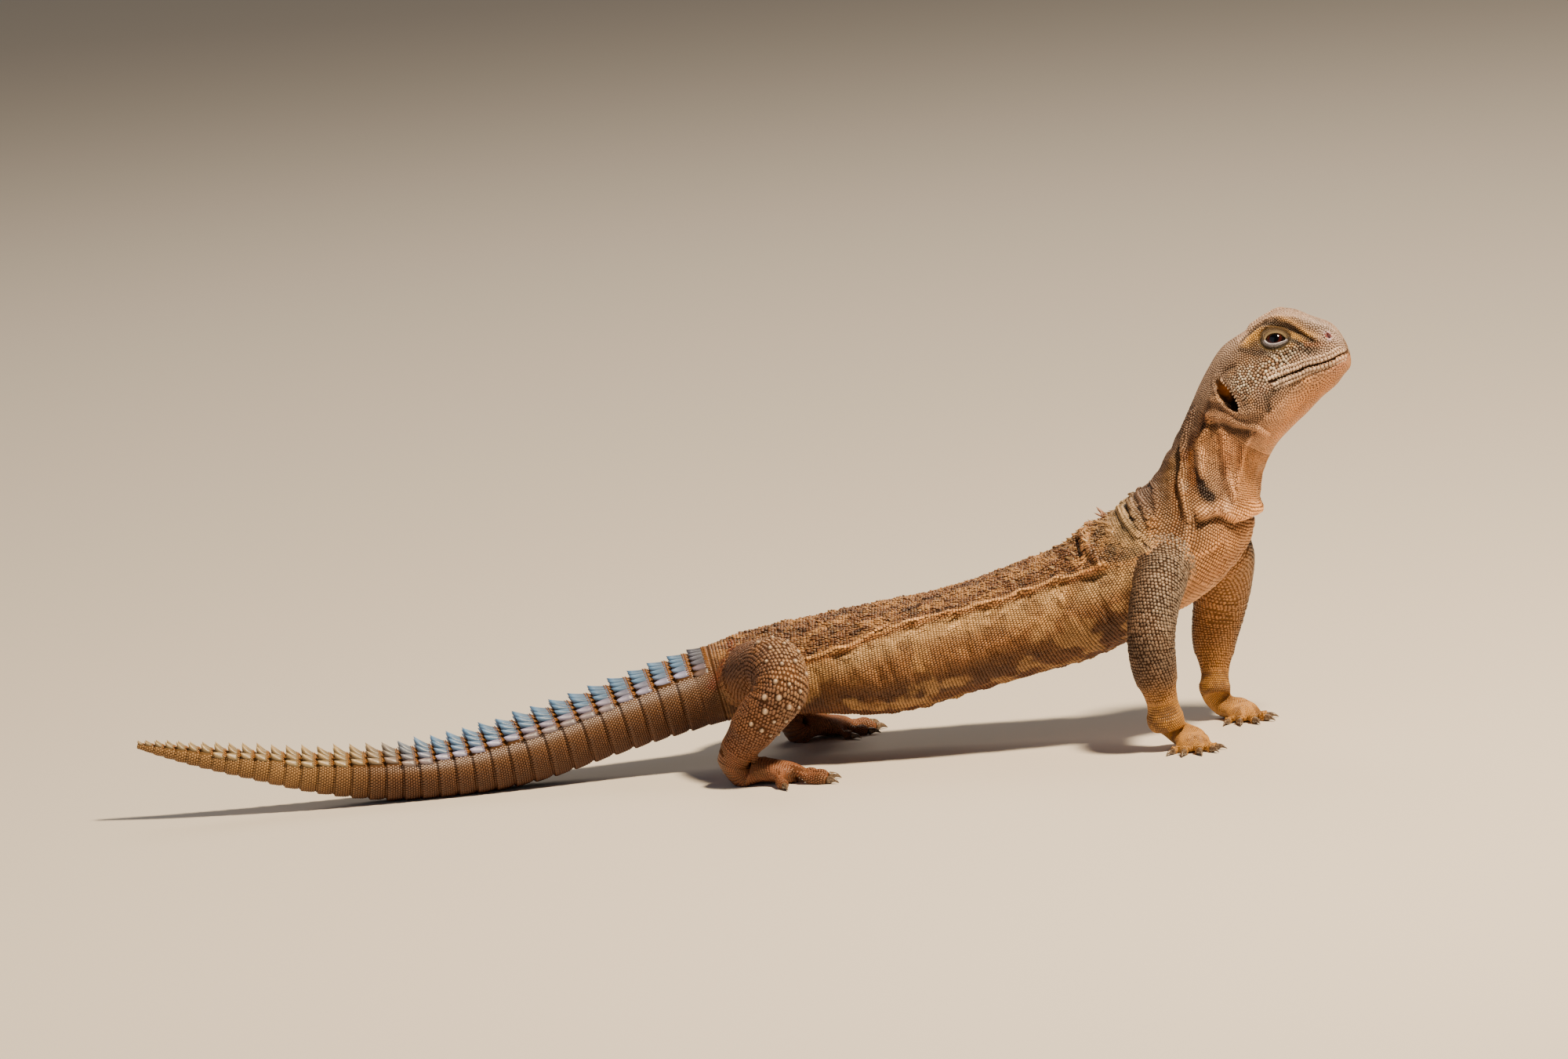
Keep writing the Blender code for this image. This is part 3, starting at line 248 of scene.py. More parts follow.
def trunk_frame(distance):
    """Centre, left and up of the trunk's sections; up is the upright turned back by the tilt."""
    centre = SPINE_LINE.read(SPINE_LINE.centre, distance)
    level = -SPINE_LINE.read(SPINE_LINE.forward, distance) * np.array([1.0, 1.0, 0.0])
    level = unit(level)
    tilt = np.radians(SPINE_LINE.read(SPINE_LINE.sizes, distance)[..., 3:4])
    upright = np.array([0.0, 0.0, 1.0])
    left = np.cross(upright, level)
    return centre, left, upright * np.cos(tilt) - level * np.sin(tilt)


def snout_closing(distance):
    """(1 - s^p)^(1/p), s the share of the snout's round end still to go."""
    share = np.clip(1.0 - distance / SNOUT_ROUND, 0.0, 1.0)
    return (1.0 - share**SNOUT_POWER) ** (1.0 / SNOUT_POWER)


def trunk_plain(distance, angle, outward=0.0):
    """Superellipse sections: width times |sin|^(2/p) left, height times |cos|^(2/p) up, grown outward."""
    distance, angle, outward = np.broadcast_arrays(distance, angle, outward)
    centre, left, up = trunk_frame(distance)
    width, above, below, _ = np.moveaxis(SPINE_LINE.read(SPINE_LINE.sizes, distance), -1, 0)
    closing = snout_closing(distance)
    sine, cosine = np.sin(angle), np.cos(angle)
    power = 2.0 / SECTION_POWER
    aside = np.sign(sine) * np.abs(sine) ** power
    upward = np.sign(cosine) * np.abs(cosine) ** power
    height = np.where(upward >= 0.0, above, below)
    return (
        centre
        + left * (aside * (width * closing + outward))[..., None]
        + up * (upward * (height * closing + outward))[..., None]
    )


def trunk_radius(distance):
    """Mean of half width and half height, in mm."""
    width, above, below, _ = np.moveaxis(SPINE_LINE.read(SPINE_LINE.sizes, distance), -1, 0)
    return (width + (above + below) / 2.0) / 2.0 * np.maximum(snout_closing(distance), 0.1)


def angle_at_height(distance, height):
    """The angle from the top at which the plain surface stands a height over the line."""
    _, above, below, _ = np.moveaxis(SPINE_LINE.read(SPINE_LINE.sizes, distance), -1, 0)
    closing = np.maximum(snout_closing(distance), 0.05)
    share = np.where(height >= 0.0, height / (above * closing), height / (below * closing))
    share = np.clip(share, -0.97, 0.97)
    return np.arccos(np.sign(share) * np.abs(share) ** (SECTION_POWER / 2.0))


def mouth_angle(distance):
    """Angle of the line of the mouth from the top."""
    return angle_at_height(distance, np.interp(distance, MOUTH[:, 0], MOUTH[:, 1]))


def head_swells(distance, angle):
    """Sum of bells in distance and angle, one for each form of the head."""
    degrees = np.degrees(np.abs(angle))
    total = np.zeros(np.broadcast(distance, angle).shape)
    for at, turn, reach, spread, height in HEAD_FORMS:
        total = total + height * bell(distance - at, reach) * bell(degrees - turn, spread)
    return total


def head_mark(at, up, side):
    """Place and outward, forward, upward axes of a mark on the head."""
    distance = np.array(float(at))
    angle = angle_at_height(distance, np.array(float(up))) * side
    relief = head_swells(distance, angle)
    place = trunk_plain(distance, angle, relief)
    ahead = trunk_plain(distance - 0.5, angle, relief) - place
    above = place - trunk_plain(distance, angle + side * 0.05, relief)
    outward = unit(np.cross(ahead, above) * -side)
    forward = unit(ahead - outward * dot(ahead, outward))
    return place, outward, forward, unit(np.cross(outward, forward) * -side)


def eye_axes(side):
    """Middle of the eyeball with its axes; the corners lie almost level."""
    place, outward, _, _ = head_mark(EYE_AT, EYE_UP, side)
    forward = np.array([1.0, 0.0, EYE_SLOPE])
    forward = unit(forward - outward * dot(forward, outward))
    return place - outward * EYE_SUNK, outward, forward, unit(np.cross(outward, forward) * -side)


def eye_mark(side):
    """The eye's middle brought up to the cheek, with the eye's axes."""
    centre, outward, forward, upward = eye_axes(side)
    return centre + outward * EYE_SUNK, outward, forward, upward


def mark_place(points, mark):
    """Forward and upward distance in mm of points from a mark."""
    place, _, forward, upward = mark
    away = points - place
    return dot(away, forward), dot(away, upward)


def pit(points, mark, wide, tall, turn=0.0):
    """1 inside an ellipse round a mark, falling to 0 at its edge, with the ellipse turned by an angle."""
    ahead, above = mark_place(points, mark)
    along = ahead * math.cos(turn) + above * math.sin(turn)
    across = above * math.cos(turn) - ahead * math.sin(turn)
    norm = np.sqrt((along / wide) ** 2 + (across / tall) ** 2)
    near = np.linalg.norm(points - mark[0], axis=-1) < 14.0
    return np.where(near, norm, 9.0)


def fold_height(distance, angle, width, height, route):
    """Height times a bell of the distance to a route of straight lengths along and round the trunk."""
    loose = ease(distance, 104.0, 116.0) * (1.0 - ease(distance, 236.0, 244.0))
    lean = 0.6 * np.sin(distance / 3.1) * (angle > 0)
    lean = lean + loose * (0.5 * np.sin(distance / 2.7) + 0.35 * np.sin(distance / 1.3))
    height = height * (1.0 - loose * (0.3 + 0.3 * np.sin(distance / 2.1 + 1.0)))
    round_mm = np.maximum(trunk_radius(distance), 4.0) * math.pi / 180.0
    degrees = np.degrees(np.abs(angle)) + lean * 2.0
    best = np.full(np.broadcast(distance, angle).shape, 1e9)
    for (x0, y0), (x1, y1) in zip(route[:-1], route[1:]):
        run = np.array([x1 - x0, (y1 - y0)])
        dx, dy = distance - x0, (degrees - y0) * round_mm
        ry = run[1] * round_mm
        t = np.clip((dx * run[0] + dy * ry) / (run[0] ** 2 + ry**2 + 1e-9), 0.0, 1.0)
        best = np.minimum(best, (dx - t * run[0]) ** 2 + (dy - t * ry) ** 2)
    return height * np.exp(-best / width**2)


# Folds of the loose skin stand this much higher than their plain heights.
FOLD_DEPTH = 1.6


def flank_creases():
    """Short creases that run down and back from the fold along the flank, of three lengths in turn."""
    routes = []
    for k, start in enumerate(np.arange(121.0, 206.0, 5.6)):
        top = float(np.interp(start, FLANK_LINE[:, 0], FLANK_LINE[:, 1]))
        reach = (6.0, 10.0, 4.5)[k % 3]
        bend, end = (start + reach * 0.4, top + reach * 1.3), (start + reach, top + reach * 2.2)
        routes.append((0.9, 0.6, (start, top + 3.0), bend, end))
    return tuple(routes)


def skin_folds(distance, angle):
    """Sum of all folds."""
    total = np.zeros(np.broadcast(distance, angle).shape)
    for width, height, *route in FOLDS + flank_creases():
        low, high = min(p[0] for p in route) - 5.0, max(p[0] for p in route) + 5.0
        near = (distance > low) & (distance < high)
        near = np.broadcast_to(near, total.shape)
        place = np.broadcast_to(distance, total.shape)[near]
        turn = np.broadcast_to(angle, total.shape)[near]
        total[near] += fold_height(place, turn, width, height * FOLD_DEPTH, route)
    return total


def whorl_list():
    """Where each ring of the tail starts, with the tail's tip last; rings shorten towards the tip."""
    starts, tip = [247.5], SPINE_LINE.length
    lengths = np.array([(0, 3.0), (20, 4.0), (60, 5.3), (110, 5.7), (150, 6.8), (200, 6.2)])
    while True:
        length = float(np.interp(tip - starts[-1], lengths[:, 0], lengths[:, 1]))
        if tip - starts[-1] < 1.7 * length:
            return np.array(starts + [tip])
        starts.append(starts[-1] + length)


def whorl_share(distance):
    """Share of the way through its ring at a distance; 0 before the first ring."""
    index = np.clip(np.searchsorted(WHORLS, distance, side="right") - 1, 0, len(WHORLS) - 2)
    share = (distance - WHORLS[index]) / (WHORLS[index + 1] - WHORLS[index])
    return np.clip(share, 0.0, 1.0)


def whorl_relief(distance):
    """Each ring rises evenly to 0.35 mm at its rear and falls into a groove 0.45 mm deep."""
    share = whorl_share(distance)
    rise = 0.35 * np.clip(share / 0.8, 0.0, 1.0)
    groove = 0.85 * np.exp(-(((share - 0.95) / 0.07) ** 2)) + 0.5 * np.exp(-((share / 0.08) ** 2))
    fade = ease(distance, WHORLS[0], WHORLS[0] + 12.0) * (1.0 - ease(distance, WHORLS[-1] - 8.0, WHORLS[-1]))
    return (rise - groove * np.clip(trunk_radius(distance) / 8.0, 0.2, 1.0)) * fade


def trunk_skin(distance, angle):
    """The skin: plain sections, less the coat, with head forms, folds, rings, pits and fine unevenness."""
    distance, angle = np.broadcast_arrays(np.asarray(distance, float), np.asarray(angle, float))
    relief = head_swells(distance, angle) + skin_folds(distance, angle) + whorl_relief(distance) - COAT
    points = trunk_plain(distance, angle, relief)
    body = ease(distance, 84.0, 100.0) * (1.0 - ease(distance, 236.0, 250.0))
    fold = np.interp(distance, FLANK_LINE[:, 0], FLANK_LINE[:, 1])
    back = body * (1.0 - ease(np.degrees(np.abs(angle)) - fold, -9.0, -1.0))
    flank = body * ease(np.degrees(np.abs(angle)) - fold, 4.0, 16.0)
    neck = ease(distance, 46.0, 54.0) * (1.0 - ease(distance, 88.0, 98.0))
    relief = relief + 1.4 * (np.abs(clouds(points * [1.0, 1.0, 0.45], 5.0, 5) - 0.5) * 2.0 - 0.3) * neck
    relief = relief + 0.5 * (clouds(points, 7.0, 3) - 0.5) * body
    relief = relief + 1.5 * (np.abs(clouds(points, 3.6, 8) - 0.5) * 2.0 - 0.4) * back
    slanted = points @ np.array([[0.9, 0.0, 0.45], [0.0, 1.0, 0.0], [-0.15, 0.0, 0.30]]).T
    relief = relief + 1.5 * (np.abs(clouds(slanted, 5.0, 9) - 0.5) * 2.0 - 0.3) * flank
    mouth = distance < MOUTH[-1, 0] + 1.5
    gap = np.abs(np.abs(angle) - mouth_angle(distance)) * trunk_radius(distance)
    strength = 1.0 - ease(distance, MOUTH[-1, 0] - 4.0, MOUTH[-1, 0] + 1.0)
    lips = 0.22 * bell(gap - 1.0, 0.5) - 0.9 * bell(gap, 0.34)
    relief = relief + np.where(mouth, lips * strength, 0.0)
    for side in SIDES.values():
        norm = pit(points, eye_mark(side), 5.3, 4.3)
        relief = relief - 1.9 * (1.0 - ease(norm, 0.62, 1.02)) + 0.35 * bell(norm - 1.12, 0.22)
        norm = pit(points, head_mark(EAR_AT, EAR_UP, side), *EAR_SIZE, EAR_TILT)
        relief = relief - 4.4 * (1.0 - ease(norm, 0.70, 1.04)) + 0.35 * bell(norm - 1.2, 0.14)
        norm = pit(points, head_mark(NOSTRIL_AT, NOSTRIL_UP, side), *NOSTRIL_SIZE, 0.5)
        relief = relief - 1.6 * (1.0 - ease(norm, 0.55, 1.1)) + 0.42 * bell(norm - 1.5, 0.38)
    made = trunk_plain(distance, angle, relief)
    inward = 0.55 * bell(distance, 2.6) - 0.3 * bell(SPINE_LINE.length - distance, 3.0)
    made = made + SPINE_LINE.read(SPINE_LINE.forward, distance) * inward[..., None]
    made[..., 2] = np.maximum(made[..., 2], 0.02)
    return made


SPINE_LINE = MiddleLine(TRUNK)
WHORLS = whorl_list()


def limb_middle(name):
    """A limb's line, its directions averaged over the length in which a bend turns."""
    line = MiddleLine(LIMBS[name])
    half = int(LIMB_TURN / line.length * 1600 / 2)
    padded = np.pad(line.forward, ((half, half), (0, 0)), mode="edge")
    share = np.full(2 * half + 1, 1.0 / (2 * half + 1))
    line.forward = unit(np.stack([np.convolve(column, share, "valid") for column in padded.T], axis=1))
    return line


def limb_axes(line, distance):
    """Centre, across and ahead of a limb's sections; ahead is +X made square to the line."""
    centre = line.read(line.centre, distance)
    forward = unit(line.read(line.forward, distance))
    ahead = unit(np.array([1.0, 0.0, 0.0]) - forward * forward[..., :1])
    return centre, np.cross(forward, ahead), ahead


def limb_skin(line, distance, angle, grow=-COAT):
    """Oval sections: half thickness times cos across and times sin ahead, with slight muscle and creases."""
    distance, angle = np.broadcast_arrays(np.asarray(distance, float), np.asarray(angle, float))
    centre, across, ahead = limb_axes(line, distance)
    wide, deep = np.moveaxis(line.read(line.sizes, distance), -1, 0)
    waves = np.sin(distance * GIRTH / 2.6 + 1.5 * np.sin(angle))
    crease = 0.16 * waves * bell(distance - 0.62 * line.length, 7.0)
    grow = grow + crease - 0.35 * ease(distance, line.length - 6.0, line.length)
    return (
        centre
        + across * ((wide + grow) * np.cos(angle))[..., None]
        + ahead * ((deep + grow) * np.sin(angle))[..., None]
    )


LINES = {name: limb_middle(name) for name in LIMBS}


def heading(degrees):
    """A level unit vector at an angle from +X towards +Y."""
    turn = math.radians(degrees)
    return np.array([math.cos(turn), math.sin(turn), 0.0])


def palm_stations(name):
    """Centre, across and up of the palm's sections: down from the wrist, round a hinge, over the floor."""
    line, ahead = LINES[name], heading(HEADINGS[name])
    reach, half_wide, half_deep, _ = HAND if name.startswith("arm") else FOOT
    wrist_wide, wrist_deep = line.sizes[-1]
    wrist, down = line.centre[-1] + line.forward[-1] * 0.3, line.forward[-1]
    fore = unit(np.array([1.0, 0.0, 0.0]) - down * down[0])
    up = np.array([0.0, 0.0, 1.0])
    first, last = np.cross(down, fore), np.cross(ahead, up)
    hinge_out = wrist_deep + 0.9
    drop = max((wrist[2] + hinge_out * fore[2] - 2.0 * half_deep - 1.2) / -down[2], 0.8)
    hinge = wrist + down * drop + fore * hinge_out
    rows = []
    for back in (2.4, 0.0):
        rows.append((wrist - down * back, first * (wrist_wide - 0.1 * back),
            fore * (wrist_deep - 0.1 * back)))
    for share in (0.0, 0.35, 0.7, 1.0):
        normal = unit((1.0 - share) * down + share * ahead)
        across = unit((1.0 - share) * first + share * last)
        across = unit(across - normal * dot(across, normal))
        upward = np.cross(across, normal)
        out = (1.0 - share) * hinge_out + share * (hinge[2] - half_deep + PRESSED)
        wide = (1.0 - share) * wrist_wide + share * half_wide
        deep = (1.0 - share) * wrist_deep + share * half_deep
        rows.append((hinge - upward * out, across * wide, upward * deep))
    base = hinge - up * (hinge[2] - half_deep + PRESSED)
    for far, width, depth in ((1.0, 1.06, 0.84), (1.35, 0.7, 0.6), (1.5, 0.3, 0.3)):
        place = base + ahead * far * reach
        place[2] = half_deep * depth - PRESSED
        rows.append((place, last * half_wide * width, up * half_deep * depth))
    knuckles = base + ahead * reach
    knuckles[2] = 0.0
    return np.array(rows), knuckles, last


def palm_sheet(name, rows=44, around=40):
    """Ovals through the palm's stations, a smooth cubic between them, pressed flat on the floor."""
    stations, _, _ = palm_stations(name)
    table = smooth_rows(stations.reshape(len(stations), 9), rows)
    centre, across, upward = table[:, None, :3], table[:, None, 3:6], table[:, None, 6:9]
    angle = np.arange(around) / around * GIRTH
    shrink = 1.0 - COAT / np.maximum(np.linalg.norm(upward, axis=-1, keepdims=True), 1.5)
    points = centre + (across * np.cos(angle)[None, :, None] + upward * np.sin(angle)[None, :,
        None]) * shrink
    points[..., 2] = np.maximum(points[..., 2], 0.03)
    return points


def digit_stations(name):
    """For each digit: points of its line, half thicknesses there, its way and its number."""
    _, knuckles, across = palm_stations(name)
    _, wide, deep, digits = HAND if name.startswith("arm") else FOOT
    ahead, outer = heading(HEADINGS[name]), -1.0 if name.endswith("right") else 1.0
    made = []
    for number, (spread, length, thick) in enumerate(digits, start=1):
        way, turn = heading(HEADINGS[name] + spread * outer), math.radians(spread)
        root = knuckles - across * math.sin(turn) * outer * 0.58 * wide
        root = root - ahead * (1.0 - math.cos(turn)) * 3.0 - way
        radii = np.array((1.05, 1.12, 1.02, 0.95, 0.7)) * thick
        heights = radii * math.sin(math.radians(60.0)) - PRESSED
        heights[:2] = (0.945 * deep, 1.05 * deep)
        points = root + np.outer(np.array((0.0, 0.3, 0.62, 0.84, 1.0)) * (length + 1.0), way)
        points[:, 2] += heights
        made.append((points, radii, way, thick, number))
    return made


def digit_frames(points, radii, rows):
    """Centres, across and up vectors and radii along a digit, a smooth cubic through its points."""
    table = smooth_rows(np.column_stack([points, radii]), rows)
    centre, radius = table[:, :3], table[:, 3]
    forward = unit(np.gradient(centre, axis=0))
    across = unit(np.cross(forward, np.array([0.0, 0.0, 1.0])))
    return centre, across, np.cross(across, forward), radius


def digit_sheet(points, radii, rows=22, around=16):
    """Round sections along a digit, swollen a little at each joint and closed round at the end."""
    centre, across, upward, radius = digit_frames(points, radii, rows)
    t = np.linspace(0.0, 1.0, rows)
    closing = np.sqrt(np.clip((1.04 - t) / 0.12, 0.0, 1.0))
    radius = (radius - 0.15) * (1.0 + 0.06 * np.sin(t * GIRTH * 2.5)) * closing
    angle = np.arange(around) / around * GIRTH
    ring = across[:, None] * np.cos(angle)[None, :, None] + upward[:, None] * np.sin(angle)[None, :, None]
    made = centre[:, None] + ring * np.maximum(radius, 0.12)[:, None, None]
    made[..., 2] = np.maximum(made[..., 2], 0.03)
    return made


def sheet_faces(rows, around):
    """Quads between neighbouring rings, each ring closed on itself."""
    first = np.arange(rows - 1)[:, None] * around + np.arange(around)[None, :]
    second = np.arange(rows - 1)[:, None] * around + (np.arange(around)[None, :] + 1) % around
    return np.stack([first, second, second + around, first + around], axis=-1).reshape(-1, 4)


def mesh_piece(name, points, faces, smooth=True):
    """An object from points in mm and faces; a tube's ends may be given as longer faces."""
    mesh = bpy.data.meshes.new(name)
    mesh.from_pydata((np.asarray(points).reshape(-1, 3) * MM).tolist(), [], [tuple(face) for face in faces])
    if smooth:
        mesh.shade_smooth()
    made = bpy.data.objects.new(name, mesh)
    bpy.context.scene.collection.objects.link(made)
    return made


def closed_tube(name, sheet):
    """A sheet of rings with a flat face at each end."""
    rows, around = sheet.shape[:2]
    quads = sheet_faces(rows, around)
    faces = quads.tolist()
    faces.append(list(range(around - 1, -1, -1)))
    faces.append(list(range((rows - 1) * around, rows * around)))
    points = (sheet - sheet.mean(axis=(0, 1))).reshape(-1, 3)
    first, second, third, fourth = (points[quads[:, k]] for k in range(4))
    if dot(first, np.cross(second, third) + np.cross(third, fourth)).sum() < 0.0:
        faces = [face[::-1] for face in faces]
    return mesh_piece(name, sheet, faces)


def colour(code):
    """sRGB hex to linear red, green and blue: ((c + 0.055) / 1.055) ^ 2.4 over 0.04, c / 12.92 under it."""
    value = np.array([int(code[k:k + 2], 16) for k in (0, 2, 4)]) / 255.0
    return np.where(value > 0.04045, ((value + 0.055) / 1.055) ** 2.4, value / 12.92)


def washed(base, code, weight):
    """Base colour moved towards another by a weight from 0 to 1."""
    return base + (colour(code) - base) * np.clip(weight, 0.0, 1.0)[..., None]


# Patches on the trunk: mm from the snout, degrees from the top, reach in mm, reach round, colour, strength.
PATCHES = (
    (30.0, 18.0, 12.0, 14.0, "b39a86", 0.5), (6.0, 30.0, 7.0, 24.0, "a9a2a0", 0.35),
    (25.4, 34.0, 3.0, 9.0, "c4943a", 0.95), (19.0, 42.0, 6.5, 7.0, "b8893c", 0.8),
    (12.0, 60.0, 4.4, 9.0, "cf9f44", 0.9), (18.0, 72.0, 5.0, 5.0, "c8943e", 0.8),
    (24.8, 58.0, 2.6, 7.0, "7c6a5a", 0.7), (10.5, 76.0, 4.5, 6.0, "a0602c", 0.6),
    (31.0, 66.0, 6.0, 15.0, "9a7c62", 0.4), (28.0, 92.0, 6.0, 10.0, "9a7260", 0.5),
    (33.0, 112.0, 8.0, 14.0, "a88264", 0.6), (12.0, 150.0, 16.0, 30.0, "a8703a", 0.8),
    (30.0, 150.0, 22.0, 30.0, "b0763c", 0.9), (4.0, 125.0, 4.0, 18.0, "a8745a", 0.6),
    (52.0, 98.0, 8.0, 26.0, "c58e60", 0.7), (58.0, 84.0, 7.0, 12.0, "c99a6c", 0.6),
    (66.0, 110.0, 8.0, 22.0, "cdab90", 0.6), (62.0, 160.0, 18.0, 40.0, "dba672", 0.7),
    (84.0, 140.0, 14.0, 40.0, "c99666", 0.8), (78.0, 60.0, 8.0, 20.0, "745638", 0.7),
    (68.0, 40.0, 8.0, 14.0, "a07a4a", 0.6), (82.0, 84.0, 7.0, 16.0, "7a5f46", 0.7),
    (3.6, 60.0, 3.6, 22.0, "c2aca2", 0.75), (8.0, 89.0, 8.0, 8.0, "c0a696", 0.7),
)
# Streaks: width in mm, colour, strength, then a route in mm from the snout and degrees from the top.
STREAKS = (
    (0.7, "33241a", 0.95, (15.6, 65), (13.5, 70), (12.0, 77), (11.2, 84)),
    # Painted shadow under the brow ridge.
    (0.9, "3d2a1c", 0.85, (28.0, 26), (26, 20), (22.4, 28), (18, 38), (14.5, 48), (11.5, 57), (9.2, 68)),
    (0.9, "4a3524", 0.8, (29.4, 38), (26.4, 54), (21.9, 70), (17, 78), (12.5, 80), (9.5, 84)),
    (1.0, "453224", 0.6, (26.4, 42), (24.4, 48), (24.6, 56)),
    (1.1, "4a3626", 0.7, (24.0, 98), (26, 98), (30.9, 98), (33.0, 108)), (0.6, "5a4030", 0.5, (14, 100),
    (24, 99)),
    (1.9, "2e1c14", 0.96, (64.8, 73), (66.8, 85), (68.3, 93), (68.6, 99)),
    (1.3, "6b4420", 0.8, (47.4, 54), (50.4, 58), (53.9, 56), (56.4, 54), (61.4, 59)),
    (1.0, "4a3020", 0.6, (46.0, 50), (50.0, 55), (56.0, 51), (62.0, 57)),
    (1.2, "9c6428", 0.6, (60.0, 62), (64.0, 68), (67.5, 78)), (1.0, "7a4a24", 0.55, (54, 102), (57, 104),
    (60, 108)),
    (0.9, "7a4a24", 0.5, (50, 110), (54, 116), (58, 121)), (0.9, "6a4426", 0.45, (63, 104), (66, 109),
    (70, 112)),
    (1.6, "8a5c2c", 0.6, (70, 56), (76, 66), (82, 80), (88, 88)), (1.2, "7a5228", 0.5, (78, 92), (82,
    98), (86, 104)),
    (1.5, "7c4026", 0.75, (239.9, 10), (239.4, 48), (242.9, 63), (246.4, 72), (249, 82)),
)


def head_paint(points, distance, degrees):
    """Grey-beige crown, brown cheeks, paler jaw and orange throat."""
    mouth = np.degrees(mouth_angle(np.minimum(distance, 34.0)))
    shade = np.broadcast_to(colour("8d7462"), points.shape)
    shade = washed(shade, "76573c", ease(degrees, 38.0, 52.0) * ease(distance, 4.0, 9.0))
    shade = washed(shade, "7e6048", ease(distance, 26.0, 34.0) * ease(degrees, 34.0, 60.0) * 0.7)
    shade = washed(shade, "846b56", ease(degrees - mouth, -8.0, 4.0))
    shade = washed(shade, "9c6830", ease(degrees - mouth, 42.0, 72.0) * 0.9)
    shade = washed(shade, "6f5c50", 0.5 * ease(clouds(points, 6.0, 41), 0.52, 0.66))
    return washed(shade, "b98c5a", 0.45 * ease(clouds(points, 3.0, 42), 0.56, 0.68) * ease(degrees, 40.0,
        60.0))


def neck_paint(points, distance, degrees):
    """Grey-brown nape, tan sides with ochre clouds, peach throat and chest."""
    shade = np.broadcast_to(colour("70594a"), points.shape)
    shade = washed(shade, "9c7650", ease(degrees, 46.0, 66.0))
    shade = washed(shade, "b3824e", ease(degrees, 92.0, 132.0) * 0.9)
    shade = washed(shade, "8c5c28", ease(clouds(points, 8.0, 51), 0.52, 0.64) * ease(degrees, 40.0,
        60.0) * 0.7)
    return washed(shade, "c4b4a6", ease(clouds(points, 7.0, 52), 0.56, 0.7) * ease(degrees, 56.0,
        86.0) * 0.55)


def body_paint(points, distance, degrees):
    """Brown marbled back, golden sides and an orange-brown belly; a cream band under the flank's fold is a
    painted highlight, the fold's crest has a painted highlight with an orange-brown line just under it
    darkened as a painted shadow, and the lower flank and belly are darkened partly by painted shade.
    """
    fold = np.interp(distance, FLANK_LINE[:, 0], FLANK_LINE[:, 1])
    marbled = ease(clouds(points * [0.8, 1.4, 1.4], 4.0, 61), 0.44, 0.6)
    shade = np.broadcast_to(colour("7a5436"), points.shape)
    shade = washed(shade, "b88c5a", marbled * 0.8)
    shade = washed(shade, "3e281a", ease(clouds(points, 3.4, 62), 0.56, 0.68) * 0.7)
    shade = washed(shade, "a8926e", bell(distance - 92.0, 11.0) * 0.8)
    under = ease(degrees - fold, -4.0, 1.0)
    # Painted highlight: a cream band on the flank just under the fold.
    golden = washed(np.broadcast_to(colour("986c3e"), points.shape), "d0b080",
        bell(degrees - fold - 15.0, 13.0) * 0.7)
    # Darker towards the belly: partly the belly's own brown, partly painted shade.
    golden = washed(golden, "53331a", ease(degrees, 88.0, 122.0) * 0.9)
    golden = washed(golden, "6a4020", ease(degrees, 126.0, 150.0) * 0.7)
    golden = washed(golden, "c8a06a", ease(clouds(points, 7.0, 63), 0.5, 0.64) * 0.55)
    golden = washed(golden, "7e562e", ease(clouds(points, 6.0, 64), 0.54, 0.66) * 0.5)
    shade = shade + (golden - shade) * under[..., None]
    # Just under the fold an orange-brown line darkened as a painted shadow of the ridge; along its crest a
    # painted highlight.
    shade = washed(shade, "8a5428", bell(degrees - fold - 3.0, 2.6) * 0.6 * ease(distance, 104.0, 112.0))
    shade = washed(shade, "caa06c", bell(degrees - fold + 0.5, 2.2) * 0.5 * ease(distance, 104.0, 112.0))
    return washed(shade, "d9a878", (1.0 - ease(distance, 98.0, 118.0)) * ease(degrees, 96.0, 118.0) * 0.8)


def tail_paint(points, distance, degrees):
    """Tan sides, brown underneath and darker low down partly as painted shade, orange-brown in the grooves,
    golden towards the tip.
    """
    shade = np.broadcast_to(colour("7c5836"), points.shape)
    # Darker low on the sides and underneath: partly the tail's own brown, partly painted shade.
    shade = washed(shade, "5c381a", ease(degrees, 80.0, 104.0) * 0.7)
    shade = washed(shade, "5e3a20", ease(degrees, 112.0, 150.0) * 0.9)
    shade = washed(shade, "7a5a40", (1.0 - ease(degrees, 20.0, 40.0)) * 0.6)
    tip = ease(distance, 352.0, 392.0)
    return washed(shade, "a98454", tip * (1.0 - 0.5 * ease(degrees, 112.0, 150.0)))


def trunk_paint(points, distance, angle):
    """Colours of head, neck, body and tail run into one another; patches and streaks lie over them, and the
    folds get painted light on their ridges and painted shade in their grooves.
    """
    degrees = np.degrees(np.abs(angle)) + 6.0 * (clouds(points, 10.0, 71) - 0.5)
    distance = distance + 3.0 * (clouds(points, 8.0, 72) - 0.5)
    parts = (head_paint, neck_paint, body_paint, tail_paint)
    shade = parts[0](points, distance, degrees)
    for part, start, end in zip(parts[1:], (44.0, 84.0, 240.0), (52.0, 96.0, 252.0)):
        share = ease(distance, start, end)[..., None]
        shade = shade + (part(points, distance, degrees) - shade) * share
    plain_degrees = np.degrees(np.abs(angle))
    for at, turn, reach, spread, code, strength in PATCHES:
        shade = washed(shade, code, bell(distance - at, reach) * bell(plain_degrees - turn,
            spread) * strength)
    for width, code, strength, *route in STREAKS:
        low, high = min(p[0] for p in route) - 6.0, max(p[0] for p in route) + 6.0
        near = (distance > low) & (distance < high)
        ragged = width * (0.7 + 0.7 * clouds(points[near], 1.6, 73))
        weight = fold_height(distance[near], angle[near], ragged, 1.0, route)
        shade[near] = washed(shade[near], code, np.clip(weight * 1.5, 0.0, 1.0) * strength)
    # Painted light and shade of the folds: lighter on the ridges, darker in the grooves.
    return shade * np.clip(1.0 + 0.34 * skin_folds(distance, angle), 0.45, 1.5)[..., None]


